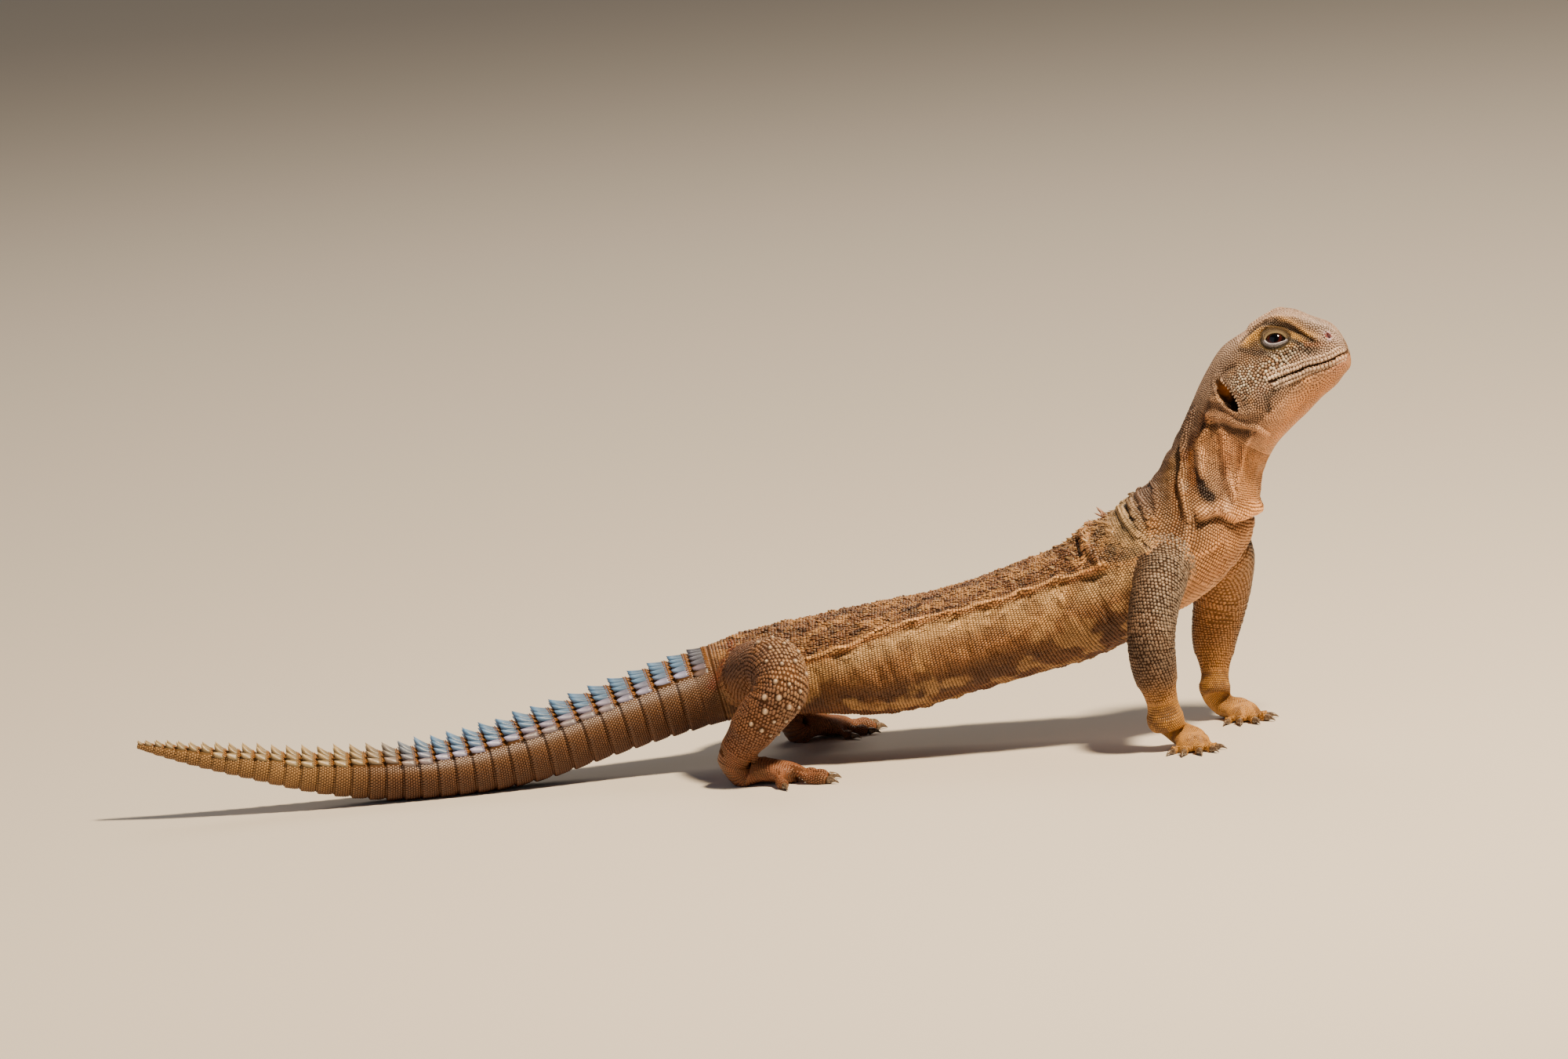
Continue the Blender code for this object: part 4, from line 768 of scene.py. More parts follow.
def limb_paint(points, name, share):
    """Grey-brown outside, tan inside; arms turn gold at the hand, legs are orange-brown."""
    line = LINES[name]
    centre, across, _ = limb_axes(line, np.clip(share, 0.0, 1.0) * line.length)
    outside = dot(unit(points - centre), across) * (1.0 if across[..., 1].mean() * centre[...,
        1].mean() > 0 else -1.0)
    if name.startswith("arm"):
        shade = np.broadcast_to(colour("624a38"), points.shape)
        shade = washed(shade, "84644a", ease(clouds(points, 7.0, 81), 0.5, 0.66) * 0.6)
        shade = washed(shade, "5e4634", ease(clouds(points, 2.5, 84), 0.52, 0.64) * 0.6)
        shade = washed(shade, "c08f5a", ease(-outside, -0.1, 0.6) * 0.85)
        return washed(shade, "b88648", ease(share, 0.80, 1.0) * 0.9)
    shade = np.broadcast_to(colour("785641"), points.shape)
    shade = washed(shade, "9c6c3e", ease(clouds(points, 8.0, 82), 0.5, 0.68) * 0.6)
    shade = washed(shade, "5e3f2a", ease(clouds(points, 3.0, 85), 0.54, 0.66) * 0.45)
    shade = washed(shade, "8a5c3c", ease(share, 0.5, 0.75) * 0.6)
    shade = washed(shade, "a87548", ease(-outside, -0.1, 0.6) * 0.6)
    return washed(shade, "8e5c38", ease(share, 0.88, 1.0) * 0.8)


def palm_paint(points, name):
    """Golden hands with tan creases; browner feet."""
    base = "b98a48" if name.startswith("arm") else "8a5a38"
    shade = np.broadcast_to(colour(base), points.shape)
    return washed(shade, "74502c", ease(clouds(points, 3.0, 83), 0.5, 0.66) * 0.6)


def pit_paint(points, shade):
    """Painted shade inside the ear, with amber at its upper end, red inside the nostril, and painted shade
    in the eye's socket under the lids.
    """
    for side in SIDES.values():
        mark = head_mark(EAR_AT, EAR_UP, side)
        norm = pit(points, mark, *EAR_SIZE, EAR_TILT)
        inside = 1.0 - ease(norm, 0.82, 1.0)
        above = mark_place(points, mark)[1]
        amber = ease(above, -1.5, 2.5) * (0.35 + 0.65 * ease(clouds(points, 1.6, 91), 0.42, 0.6))
        # Painted shade: near-black inside the ear's opening, with amber towards its upper end.
        deep = washed(np.broadcast_to(colour("24140a"), points.shape), "b8782a", amber)
        shade = shade + (deep - shade) * inside[..., None]
        shade = washed(shade, "c9a98c", bell(norm - 1.16, 0.10) * 0.8)
        norm = pit(points, head_mark(NOSTRIL_AT, NOSTRIL_UP, side), *NOSTRIL_SIZE, 0.5)
        shade = washed(shade, "d3bfc6", bell(norm - 1.45, 0.42))
        shade = washed(shade, "8a2a20", 1.0 - ease(norm, 0.9, 1.25))
        # Painted shade in the eye's socket under the lids.
        shade = washed(shade, "2a1a10", 1.0 - ease(pit(points, eye_mark(side), 5.3, 4.3), 0.8, 1.0))
    return shade


def skin_sheets():
    """Every primitive of the skin with its colours, as name, grid of points and grid of colours."""
    distance = trunk_places()
    angle = trunk_turns(distance)
    points = trunk_skin(distance[:, None], angle)
    shade = trunk_paint(points, np.broadcast_to(distance[:, None], angle.shape), angle)
    # Bare skin between the scales is darkened, partly its own darker tone and partly painted shade of the
    # gaps; more so on head and neck.
    plain = 0.50 - 0.10 * (1.0 - ease(distance, 60.0, 90.0))[:, None, None]
    yield "trunk", points, pit_paint(points, shade * plain) / 0.5
    for name, line in LINES.items():
        distance = np.linspace(0.0, line.length + 0.4, 72)[:, None]
        angle = (np.arange(44) / 44 * GIRTH)[None, :]
        points = limb_skin(line, distance, angle)
        share = np.broadcast_to(distance / line.length, points.shape[:2])
        yield name, points, limb_paint(points, name, share)
        points = palm_sheet(name)
        yield "palm_" + name, points, palm_paint(points, name)
        for place, radii, _, _, number in digit_stations(name):
            points = digit_sheet(place, radii)
            yield f"digit_{name}_{number}", points, palm_paint(points, name)


def trunk_places():
    """Distances of the trunk's rings: close on the head, wider on the body, seven to a ring of the tail."""
    head = np.concatenate([[0.06, 0.16, 0.3, 0.5], np.linspace(0.8, 48.0, 96)])
    body = np.linspace(48.0, WHORLS[0], 182)[1:]
    tail = [body]
    for start, end in zip(WHORLS[:-1], WHORLS[1:]):
        tail.append(start + (end - start) * np.array([0.1, 0.35, 0.62, 0.82, 0.9, 0.96, 1.0]))
    return np.concatenate([head, *tail])


def trunk_turns(distance, columns=168):
    """Angles of each ring's points, drawn together at the line of the mouth."""
    half = columns // 2
    even = np.linspace(0.0, math.pi, half + 1)
    middle = mouth_angle(np.minimum(distance, 30.0))[:, None]
    radius = trunk_radius(distance)[:, None]
    knots = int(half * 0.62)
    fine = np.clip(np.array([1.9, 1.45, 1.1, 0.8, 0.52, 0.26])[None, :] / radius, 0.0, 0.28)
    offsets = np.hstack([-fine, np.zeros((len(distance), 1)), fine[:, ::-1]])
    first = knots - 6
    above = np.linspace(0.0, 1.0, first + 1)[None, :-1] * (middle - fine[:, :1])
    below_count = half + 1 - first - 13
    low = middle + fine[:, :1]
    below = low + np.linspace(0.0, 1.0, below_count + 1)[None, 1:] * (math.pi - low)
    mouth = np.hstack([above, middle + offsets, below])
    share = ease(distance, 29.0, 46.0)[:, None]
    turn = mouth + (even[None, :] - mouth) * share
    return np.hstack([turn, -turn[:, -2:0:-1]])


def neighbour_mean(values, edges, count):
    """Mean over each vertex's neighbours, for values of any number of columns."""
    total = np.stack([
        np.bincount(edges[:, 0], values[edges[:, 1], k], count) + np.bincount(edges[:, 1],
        values[edges[:, 0], k], count)
        for k in range(values.shape[1])
    ], axis=1)
    number = np.bincount(edges[:, 0], minlength=count) + np.bincount(edges[:, 1], minlength=count)
    return total / np.maximum(number, 1)[:, None]


def place_keys(points):
    """One whole number for each point, from its place in steps of a tenth of a micrometre."""
    steps = np.round(np.asarray(points, float) / MM * 1e4).astype(np.int64)
    return (steps[:, 0] * 73856093) ^ (steps[:, 1] * 19349663) ^ (steps[:, 2] * 83492791)


def skin_piece():
    """All primitives fused into one closed skin, its seams smoothed and its colours carried over."""
    sheets = list(skin_sheets())
    items = [closed_tube(name, points) for name, points, _ in sheets]
    known = np.concatenate([points.reshape(-1, 3) for _, points, _ in sheets]) * MM
    shades = np.concatenate([shade.reshape(-1, 3) for _, _, shade in sheets])
    known = known.astype(np.float32).astype(float)
    skin, others = items[0], items[1:]
    group = bpy.data.collections.new("skin_parts")
    bpy.context.scene.collection.children.link(group)
    for item in others:
        group.objects.link(item)
    union = skin.modifiers.new("fuse", "BOOLEAN")
    union.operation, union.solver = "UNION", "MANIFOLD"
    union.operand_type, union.collection = "COLLECTION", group
    fused = bpy.data.meshes.new_from_object(skin.evaluated_get(bpy.context.evaluated_depsgraph_get()))
    for item in items:
        bpy.data.objects.remove(item)
    bpy.data.collections.remove(group)
    count = len(fused.vertices)
    points = np.empty(count * 3)
    fused.vertices.foreach_get("co", points)
    points = points.reshape(-1, 3)
    edges = np.empty(len(fused.edges) * 2, int)
    fused.edges.foreach_get("vertices", edges)
    edges = edges.reshape(-1, 2)
    keys, order = np.unique(place_keys(known), return_index=True)
    found = np.clip(np.searchsorted(keys, place_keys(points)), 0, len(keys) - 1)
    old = keys[found] == place_keys(points)
    tint = shades[order[found]]
    seam = (~old).astype(float)
    band = seam.copy()
    for _ in range(7):
        band = np.maximum(band, np.minimum(neighbour_mean(band[:, None], edges, count)[:, 0] * 9.0,
            1.0) * 0.88)
    tint[~old] = 0.0
    trust = old.astype(float)[:, None]
    for _ in range(4):
        filled = neighbour_mean(tint * trust, edges, count) / np.maximum(neighbour_mean(trust, edges,
            count), 1e-6)
        tint = np.where(trust > 0.0, tint, filled)
        trust = np.maximum(trust, (neighbour_mean(trust, edges, count) > 0.0).astype(float))
    for _ in range(32):
        points = points + (neighbour_mean(points, edges, count) - points) * band[:, None] * 0.6
        tint = tint + (neighbour_mean(tint, edges, count) - tint) * band[:, None] * 0.6
    points[:, 2] = np.maximum(points[:, 2], OFF_FLOOR * MM)
    fused.vertices.foreach_set("co", points.ravel())
    # Half the colour: the skin between the scales darkened, partly its own tone and partly painted shade.
    paint_mesh(fused, tint * 0.5)
    fused.shade_smooth()
    fused.name = "skin"
    made = bpy.data.objects.new("skin", fused)
    bpy.context.scene.collection.objects.link(made)
    return made


def paint_mesh(mesh, shades):
    """Keeps a colour for each vertex in the attribute that the materials read."""
    layer = mesh.color_attributes.new("tint", "FLOAT_COLOR", "POINT")
    values = np.ones((len(mesh.vertices), 4), np.float32)
    values[:, :3] = np.maximum(shades, 0.0) ** DEEPEN
    layer.data.foreach_set("color", values.ravel())


# Scale shapes as shares: back along the animal, aside, up from the skin (minus one is sunk in it).
TILE = np.array([
    (-0.50, -0.48, -1), (0.54, -0.50, -1), (0.54, 0.50, -1), (-0.50, 0.48, -1),
    (-0.36, -0.33, 0.50), (0.44, -0.36, 0.86), (0.44, 0.36, 0.86), (-0.36, 0.33, 0.50), (0.10, 0.0, 1.0),
])
TILE_FACES = [(3, 2, 1, 0), (0, 1, 5, 4), (1, 2, 6, 5), (2, 3, 7, 6), (3, 0, 4, 7),
              (4, 5, 8), (5, 6, 8), (6, 7, 8), (7, 4, 8)]


def bead_shape(sides=6, top=0.58, shoulder=0.7):
    """A dome: a ring sunk in the skin, a smaller ring higher up, and a point in the middle."""
    turn = (np.arange(sides) + 0.5) / sides * GIRTH
    ring = np.column_stack([np.cos(turn), np.sin(turn)])
    low = np.column_stack([ring * 0.54, np.full(sides, -1.0)])
    high = np.column_stack([ring * 0.54 * top + [0.03, 0.0], np.full(sides, shoulder)])
    points = np.vstack([low, high, [[0.05, 0.0, 1.0]]])
    faces = [tuple(range(sides - 1, -1, -1))]
    for k in range(sides):
        n = (k + 1) % sides
        faces += [(k, n, sides + n, sides + k), (sides + k, sides + n, 2 * sides)]
    return points, faces


def thorn_shape(rows=5, columns=5):
    """A keeled scute: height rises with the power 1.2 of the way back, and falls aside as 1 - |v|^1.2."""
    u, v = np.meshgrid(np.linspace(0.0, 1.0, rows), np.linspace(-1.0, 1.0, columns), indexing="ij")
    height = 0.10 + 0.90 * u**1.2 * (1.0 - np.abs(v) ** 1.2 * 0.90)
    back = -0.5 + u * (1.0 - 0.26 * np.abs(v) ** 1.5)
    aside = 0.5 * v * (0.92 + 0.12 * np.sin(u * 2.6)) * (1.0 - 0.16 * u**4)
    top = np.stack([back, aside, height], axis=-1).reshape(-1, 3)
    edge = np.concatenate([
        np.arange(columns), np.arange(1, rows) * columns + columns - 1,
        np.arange(columns - 2, -1, -1) + (rows - 1) * columns, np.arange(rows - 2, 0, -1) * columns,
    ])
    low = top[edge].copy()
    low[:, 2] = -1.0
    low[:, 0] = np.minimum(low[:, 0], 0.40)
    points = np.vstack([top, low])
    first = len(top)
    faces = []
    for i in range(rows - 1):
        for j in range(columns - 1):
            k = i * columns + j
            faces.append((k, k + columns, k + columns + 1, k + 1))
    for k in range(len(edge)):
        n = (k + 1) % len(edge)
        faces.append((edge[k], edge[n], first + n, first + k))
    faces.append(tuple(range(first, first + len(edge))))
    return points, faces


BEAD, BEAD_FACES = bead_shape()
THORN, THORN_FACES = thorn_shape()
KEEL, KEEL_FACES = thorn_shape(3, 3)
PLATE, PLATE_FACES = bead_shape(6, 0.82, 0.9)


def array_mesh(name, points, loops, totals, shades, uvs):
    """A mesh from whole arrays: places in mm, corner lists, corners to a face, colours and root places."""
    mesh = bpy.data.meshes.new(name)
    mesh.vertices.add(len(points))
    mesh.vertices.foreach_set("co", (points * MM).astype(np.float32).ravel())
    mesh.loops.add(len(loops))
    mesh.loops.foreach_set("vertex_index", loops.astype(np.int32))
    mesh.polygons.add(len(totals))
    starts = np.concatenate([[0], np.cumsum(totals)[:-1]])
    mesh.polygons.foreach_set("loop_start", starts.astype(np.int32))
    mesh.polygons.foreach_set("loop_total", totals.astype(np.int32))
    mesh.update(calc_edges=True)
    mesh.shade_smooth()
    paint_mesh(mesh, shades)
    layer = mesh.uv_layers.new(name="OFBake")
    layer.data.foreach_set("uv", uvs[loops].astype(np.float32).ravel())
    made = bpy.data.objects.new(name, mesh)
    bpy.context.scene.collection.objects.link(made)
    return made


def stamped(template, faces, roots, axes, sizes, base_in_painted_shade, top_with_painted_highlight, uv, lean=None, sink=0.14):
    """A copy of a template at each root, turned to its axes: points, corners, totals, colours, uvs; the
    colours run from painted shade at the sunk base to a top colour with a painted highlight.
    """
    back, aside, outward = axes
    number, many = len(roots), len(template)
    tall = np.where(template[None, :, 2] < 0.0, -sink, template[None, :, 2] * sizes[:, 2:3])
    along = template[None, :, 0] * sizes[:, 0:1]
    if lean is not None:
        along = along + np.maximum(tall, 0.0) * lean[:, None]
    points = (
        roots[:, None]
        + back[:, None] * along[..., None]
        + aside[:, None] * (template[None, :, 1] * sizes[:, 1:2])[..., None]
        + outward[:, None] * tall[..., None]
    )
    points[..., 2] = np.maximum(points[..., 2], OFF_FLOOR)
    # Painted shade and highlight: each copy darkest at its base, between the scales, and lightest at its
    # top.
    share = np.clip(template[:, 2], 0.0, 1.0)[None, :, None] ** 1.5
    shades = base_in_painted_shade[:, None] + (top_with_painted_highlight - base_in_painted_shade)[:, None] * share
    spots = uv[:, None] + template[None, :, :2] * 0.0028
    loops = np.concatenate([np.array(face) for face in faces])
    loops = (loops[None, :] + (np.arange(number) * many)[:, None]).ravel()
    totals = np.tile(np.array([len(face) for face in faces]), number)
    return points.reshape(-1, 3), loops, totals, shades.reshape(-1, 3), spots.reshape(-1, 2)


def join_stamps(name, stamps):
    """One piece from several sets of copies."""
    points, loops, totals, shades, spots, base = [], [], [], [], [], 0
    for stamp in stamps:
        points.append(stamp[0])
        loops.append(stamp[1] + base)
        totals.append(stamp[2])
        shades.append(stamp[3])
        spots.append(stamp[4])
        base += len(stamp[0])
    joined = [np.concatenate(part) for part in (points, loops, totals, shades, spots)]
    return array_mesh(name, *joined)


def shrunk(points, skin, mode, offset):
    """Points moved by a Shrinkwrap modifier to the nearest place of the skin, or to a height over it."""
    mesh = bpy.data.meshes.new("roots")
    mesh.vertices.add(len(points))
    mesh.vertices.foreach_set("co", (points * MM).astype(np.float32).ravel())
    item = bpy.data.objects.new("roots", mesh)
    bpy.context.scene.collection.objects.link(item)
    wrap = item.modifiers.new("settle", "SHRINKWRAP")
    wrap.target, wrap.wrap_method, wrap.wrap_mode, wrap.offset = skin, "NEAREST_SURFACEPOINT", mode, offset
    result = item.evaluated_get(bpy.context.evaluated_depsgraph_get()).to_mesh()
    places = np.empty(len(points) * 3)
    result.vertices.foreach_get("co", places)
    bpy.data.objects.remove(item)
    return places.reshape(-1, 3) / MM


def settle(points, skin, tolerance):
    """Feet and outward directions of points on the skin, and which of them lie near enough to it."""
    feet = shrunk(points, skin, "ON_SURFACE", 0.0)
    raised = shrunk(feet, skin, "ABOVE_SURFACE", 0.001)
    outward = unit(raised - feet)
    near = np.linalg.norm(feet - points, axis=1) < tolerance
    return feet, outward, near


def lay(back, outward):
    """Back and aside directions made square to the outward ones."""
    back = unit(back - outward * dot(back, outward)[:, None])
    return back, np.cross(outward, back), outward


def trunk_rows(places, count, shift=0.0):
    """Roots in rows round the trunk, every other row turned by half a step."""
    rows = np.arange(len(places))
    angle = ((np.arange(count)[None, :] + 0.5 * (rows % 2)[:, None] + shift) / count) * GIRTH
    angle = (angle + math.pi) % GIRTH - math.pi
    distance = np.broadcast_to(np.asarray(places, float)[:, None], angle.shape)
    draw = np.random.default_rng(len(places))
    uneven = draw.normal(0.0, 0.05, (2, angle.size))
    return distance.ravel() + uneven[0], angle.ravel() + uneven[1] * GIRTH / count


def trunk_roots(distance, angle, skin, tolerance=0.9):
    """Roots, axes, width of a radian and stretch of a millimetre of trunk scales settled on the skin."""
    points = trunk_skin(distance, angle)
    behind = trunk_skin(distance + 0.6, angle)
    beside = trunk_skin(distance, angle + 0.01)
    feet, outward, near = settle(points, skin, tolerance)
    round_step = np.linalg.norm(beside - points, axis=1) / 0.01
    stretch = np.clip(np.linalg.norm(behind - points, axis=1) / 0.6, 0.6, 1.5)
    return feet, lay(behind - points, outward), round_step, stretch, near


def varied(shade, amount, seed):
    """Colours made lighter or darker by a random share for each scale."""
    draw = np.random.default_rng(seed)
    return shade * (1.0 + amount * draw.uniform(-1.0, 1.0, len(shade)))[:, None]


def taken(keep, *arrays):
    """The kept rows of each array; axes are a tuple of arrays."""
    return [tuple(part[keep] for part in item) if isinstance(item, tuple) else item[keep] for item in arrays]


def row_places(start, end):
    """Distances of rows that stand as far apart as the scales are long there."""
    places, table = [start], np.array([(48, 0.62), (66, 0.66), (78, 0.90), (92, 1.0), (250, 1.0)])
    while places[-1] < end:
        places.append(places[-1] + float(np.interp(places[-1], table[:, 0], table[:, 1])))
    return np.array(places[:-1])


def trunk_coat(name, start, end, count, skin):
    """Brick-like rows of small square scales over a length of the trunk, rougher and uneven on the back."""
    places = row_places(start, end)
    distance, angle = trunk_rows(places, count)
    feet, axes, round_step, stretch, near = trunk_roots(distance, angle, skin, 1.3)
    shade = trunk_paint(feet, distance, angle)
    feet, axes, round_step, stretch, shade, distance, angle = taken(
        near, feet, axes, round_step, stretch, shade, distance, angle
    )
    degrees = np.degrees(np.abs(angle))
    fold = np.interp(distance, FLANK_LINE[:, 0], FLANK_LINE[:, 1])
    body = ease(distance, 92.0, 106.0) * (1.0 - ease(distance, 240.0, 248.0))
    rough = (1.0 - ease(degrees, fold - 7.0, fold)) * body
    draw = np.random.default_rng(31)
    wide = round_step * GIRTH / count * 0.91
    long = np.interp(distance, places, np.gradient(places)) * stretch
    tall = 0.14 + 0.12 * long + rough * draw.uniform(0.0, 0.65, len(feet)) ** 1.5
    sizes = np.column_stack([long * (0.92 + 0.35 * rough * draw.random(len(feet))), wide, tall])
    lean = rough * draw.uniform(-0.2, 0.9, len(feet))
    uv = np.column_stack([(distance - start) / (end - start), (angle + math.pi) / GIRTH]) * 0.97 + 0.012
    tone = draw.random(len(feet))
    # Tops lighter than the paint as painted highlight; the random light and dark tones are the scales' own.
    top = washed(shade * 1.50, "c79a62", rough * ease(tone, 0.6, 0.9) * 0.5)
    top = washed(top, "2e1c12", rough * (1.0 - ease(tone, 0.1, 0.3)) * 0.5)
    top = varied(top, 0.14, 17)
    pieces = []
    zones = (("", np.ones(len(feet), bool)),)
    if name == "body":
        zones = (("_back", degrees < fold), ("_flank", (degrees >= fold) & (degrees < 112.0)), ("_belly",
            degrees >= 112.0))
    for part, zone in zones:
        some = (axes[0][zone], axes[1][zone], axes[2][zone])
        # Bases at a third of the colour: painted shade between the scales.
        low = shade[zone] * 0.32
        stamp = stamped(TILE, TILE_FACES, feet[zone], some, sizes[zone], low, top[zone], uv[zone],
            lean[zone])
        pieces.append(join_stamps(f"scales_{name}{part}", [stamp]))
    return pieces


def ring_height(distance, degrees):
    """Height of the tail's thorns in mm: tallest along the top, low on the sides, flat underneath."""
    table = np.array([(0, 1.0), (12, 1.9), (40, 2.7), (90, 3.4), (125, 3.3), (150, 2.4), (185, 1.0)])
    full = np.interp(SPINE_LINE.length - distance, table[:, 0], table[:, 1]) * 0.85
    return full * np.interp(degrees, [0, 8, 34, 50, 84, 110, 180], [0.9, 1.0, 0.72, 0.42, 0.24, 0.12, 0.1])


def ring_rows(share, spacing, start, end, turned, low, high):
    """One row of roots round a ring of the tail, between two angles: distance, angle, ring length, step."""
    radius = float(trunk_radius(np.array((start + end) / 2)))
    count = max(2 * int(round(GIRTH * radius / spacing / 2)), 8)
    angle = ((np.arange(count) + turned) / count * GIRTH + math.pi) % GIRTH - math.pi
    degrees = np.degrees(np.abs(angle))
    angle = angle[(degrees >= low) & (degrees < high)]
    size = len(angle)
    rows = [np.full(size, start + share * (end - start)), angle, np.full(size, end - start),
        np.full(size, GIRTH / count)]
    return np.column_stack(rows)


def tail_coat(skin):
    """Each ring has a rear row of keeled scutes, golden keels before them and small flat scales aside."""
    scutes, keels, small = [], [], []
    for start, end in zip(WHORLS[:-1], WHORLS[1:]):
        scutes.append(ring_rows(0.58, 2.5, start, end, 0.5, 0.0, 61.0))
        keels.append(ring_rows(0.08, 0.86, start, end, 0.5, 0.0, 60.0))
        keels.append(ring_rows(0.18, 0.86, start, end, 0.0, 0.0, 54.0))
        rows = max(int(round((end - start) / 0.74)), 3)
        for k in range(rows):
            share = (k + 0.5) / rows
            small.append(ring_rows(share, 0.92, start, end, 0.5 * (k % 2), 52.0 if share < 0.2 else 60.0,
                181.0))
    pieces = []
    for name, rows in (("scutes", scutes), ("keels", keels), ("small", small)):
        distance, angle, length, step = np.vstack(rows).T
        feet, axes, round_step, stretch, _ = trunk_roots(distance, angle, skin, 1.6)
        degrees = np.degrees(np.abs(angle))
        shade = ring_paint(feet, distance, angle, name)
        wide = round_step * step
        uv = np.column_stack([(distance - 246.0) / 166.0, (angle + math.pi) / GIRTH]) * 0.97 + 0.012
        draw = np.random.default_rng(23)
        uneven = 1.0 + 0.14 * draw.uniform(-1.0, 1.0, len(distance))
        # In each kind the base colour under 1 is painted shade between the scales, the top over 1 a painted
        # highlight.
        if name == "scutes":
            sizes = np.column_stack([length * 0.82, wide * 1.02, ring_height(distance,
                degrees) * uneven + 0.25])
            low, top, lean, sink = shade * 0.40, varied(shade * 1.2, 0.14, 2), np.full(len(feet), 0.12), 0.6
            stamp = stamped(THORN, THORN_FACES, feet, axes, sizes, low, top, uv, lean, sink)
        elif name == "keels":
            tall = (0.30 + 0.16 * ring_height(distance, degrees)) * uneven
            sizes = np.column_stack([length * 0.17, wide * 0.9, tall])
            stamp = stamped(KEEL, KEEL_FACES, feet, axes, sizes, shade * 0.4, shade * 1.3, uv,
                np.full(len(feet), 0.6))
        else:
            sizes = np.column_stack([np.full(len(feet), 0.70) * stretch, wide * 0.90, np.full(len(feet),
                0.16)])
            stamp = stamped(TILE, TILE_FACES, feet, axes, sizes, shade * 0.35, varied(shade * 1.3, 0.10,
                3), uv)
        pieces.append(join_stamps("tail_" + name, [stamp]))
    return pieces


def ring_paint(points, distance, angle, kind):
    """Blue over the back of the tail, lilac-white beside it, then tan; golden towards the tip."""
    degrees = np.degrees(np.abs(angle))
    shade = trunk_paint(points, distance, angle)
    away = ease(distance, 246.0, 258.0) * (1.0 - ease(distance, 340.0, 372.0))
    if kind == "scutes":
        shade = washed(shade, "8a7458", ease(degrees, 52.0, 66.0) * 0.7)
        shade = washed(shade, "7ba4d0", (1.0 - ease(degrees, 38.0, 46.0)) * away * 0.97)
        shade = washed(shade, "c8caf4", bell(degrees - 50.0, 8.0) * away * 0.97)
        shade = washed(shade, "c9b694", bell(degrees - 66.0, 6.0) * away * 0.7)
        return washed(shade, "cdb78c", (1.0 - ease(degrees, 60.0, 90.0)) * ease(distance, 340.0,
            372.0) * 0.8)
    if kind == "keels":
        return washed(shade, "b87e38", (1.0 - ease(degrees, 50.0, 66.0)) * 0.85)
    return washed(shade, "c3b5ae", bell(degrees - 68.0, 9.0) * 0.7 * away)


def flakes(skin):
    """Loose bits of old skin that stand up from the back, most of them behind the shoulders."""
    draw = np.random.default_rng(53)
    count = 260
    distance = np.where(draw.random(count) < 0.35, draw.uniform(99.0, 122.0, count), draw.uniform(104.0,
        238.0, count))
    angle = np.radians(draw.uniform(-44.0, 44.0, count))
    feet, axes, _, _, near = trunk_roots(distance, angle, skin, 2.5)
    turn = draw.uniform(-0.9, 0.9, count)[:, None]
    axes = lay(axes[0] * np.cos(turn) + axes[1] * np.sin(turn), axes[2])
    near_shoulder = (distance < 122.0).astype(float)
    wide = draw.uniform(0.7, 1.4, count) * (1.0 + 0.4 * near_shoulder)
    tall = draw.uniform(0.5, 1.2, count) * (1.0 + 0.6 * near_shoulder)
    sizes = np.column_stack([wide * draw.uniform(0.8, 1.5, count), wide, tall])
    shade = varied(np.broadcast_to(colour("c29a68"), feet.shape), 0.35, 54)
    uv = np.column_stack([(distance - 92.4) / 155.0, (angle + math.pi) / GIRTH]) * 0.97 + 0.012
    parts = taken(near, feet, axes, sizes, shade, uv, draw.uniform(0.3, 1.0, count))
    # Flakes darker at the base as painted shade.
    stamps = [stamped(THORN, THORN_FACES, parts[0], parts[1], parts[2], parts[3] * 0.4, parts[3],
        parts[4], parts[5])]
    feet, axes, _, _, _ = trunk_roots(np.array([102.0, 102.9, 103.4]), np.radians([-3.0, 2.0, -6.0]),
        skin, 2.5)
    sizes = np.array([(1.5, 1.3, 4.8), (1.2, 1.1, 3.6), (1.1, 1.0, 2.8)])
    shade = np.broadcast_to(colour("c49a84"), feet.shape)
    uv = np.array([(0.06, 0.5), (0.065, 0.51), (0.07, 0.49)])
    # Beads darker at the base as painted shade.
    stamps.append(stamped(BEAD, BEAD_FACES, feet, axes, sizes, shade * 0.5, shade, uv, np.array([0.1,
        0.6, -0.35])))
    return join_stamps("flakes", stamps)


def facing(name, angle, middle, spread):
    """1 on the side of a limb that faces an angle from outward towards the front, falling off round it."""
    turn = np.degrees(angle) if name.endswith("right") else 180.0 - np.degrees(angle)
    return bell((turn - middle + 180.0) % 360.0 - 180.0, spread)


def limb_rows(name, places, count):
    """Roots of limb scales in alternating rows, with their width and stretch."""
    line = LINES[name]
    rows = np.arange(len(places))
    angle = (np.arange(count)[None, :] + 0.25 * (rows % 4)[:, None]) / count * GIRTH
    distance = np.broadcast_to(places[:, None], angle.shape).ravel()
    angle = angle.ravel()
    draw = np.random.default_rng(len(angle))
    distance = distance + draw.normal(0.0, 0.09, len(angle))
    angle = angle + draw.normal(0.0, 0.08, len(angle)) * GIRTH / count
    points = limb_skin(line, distance, angle)
    behind = limb_skin(line, distance + 0.6, angle)
    beside = limb_skin(line, distance, angle + 0.01)
    wide = np.linalg.norm(beside - points, axis=1) / 0.01 * GIRTH / count
    stretch = np.clip(np.linalg.norm(behind - points, axis=1) / 0.6, 0.55, 1.6)
    return distance, angle, points, behind - points, wide, stretch


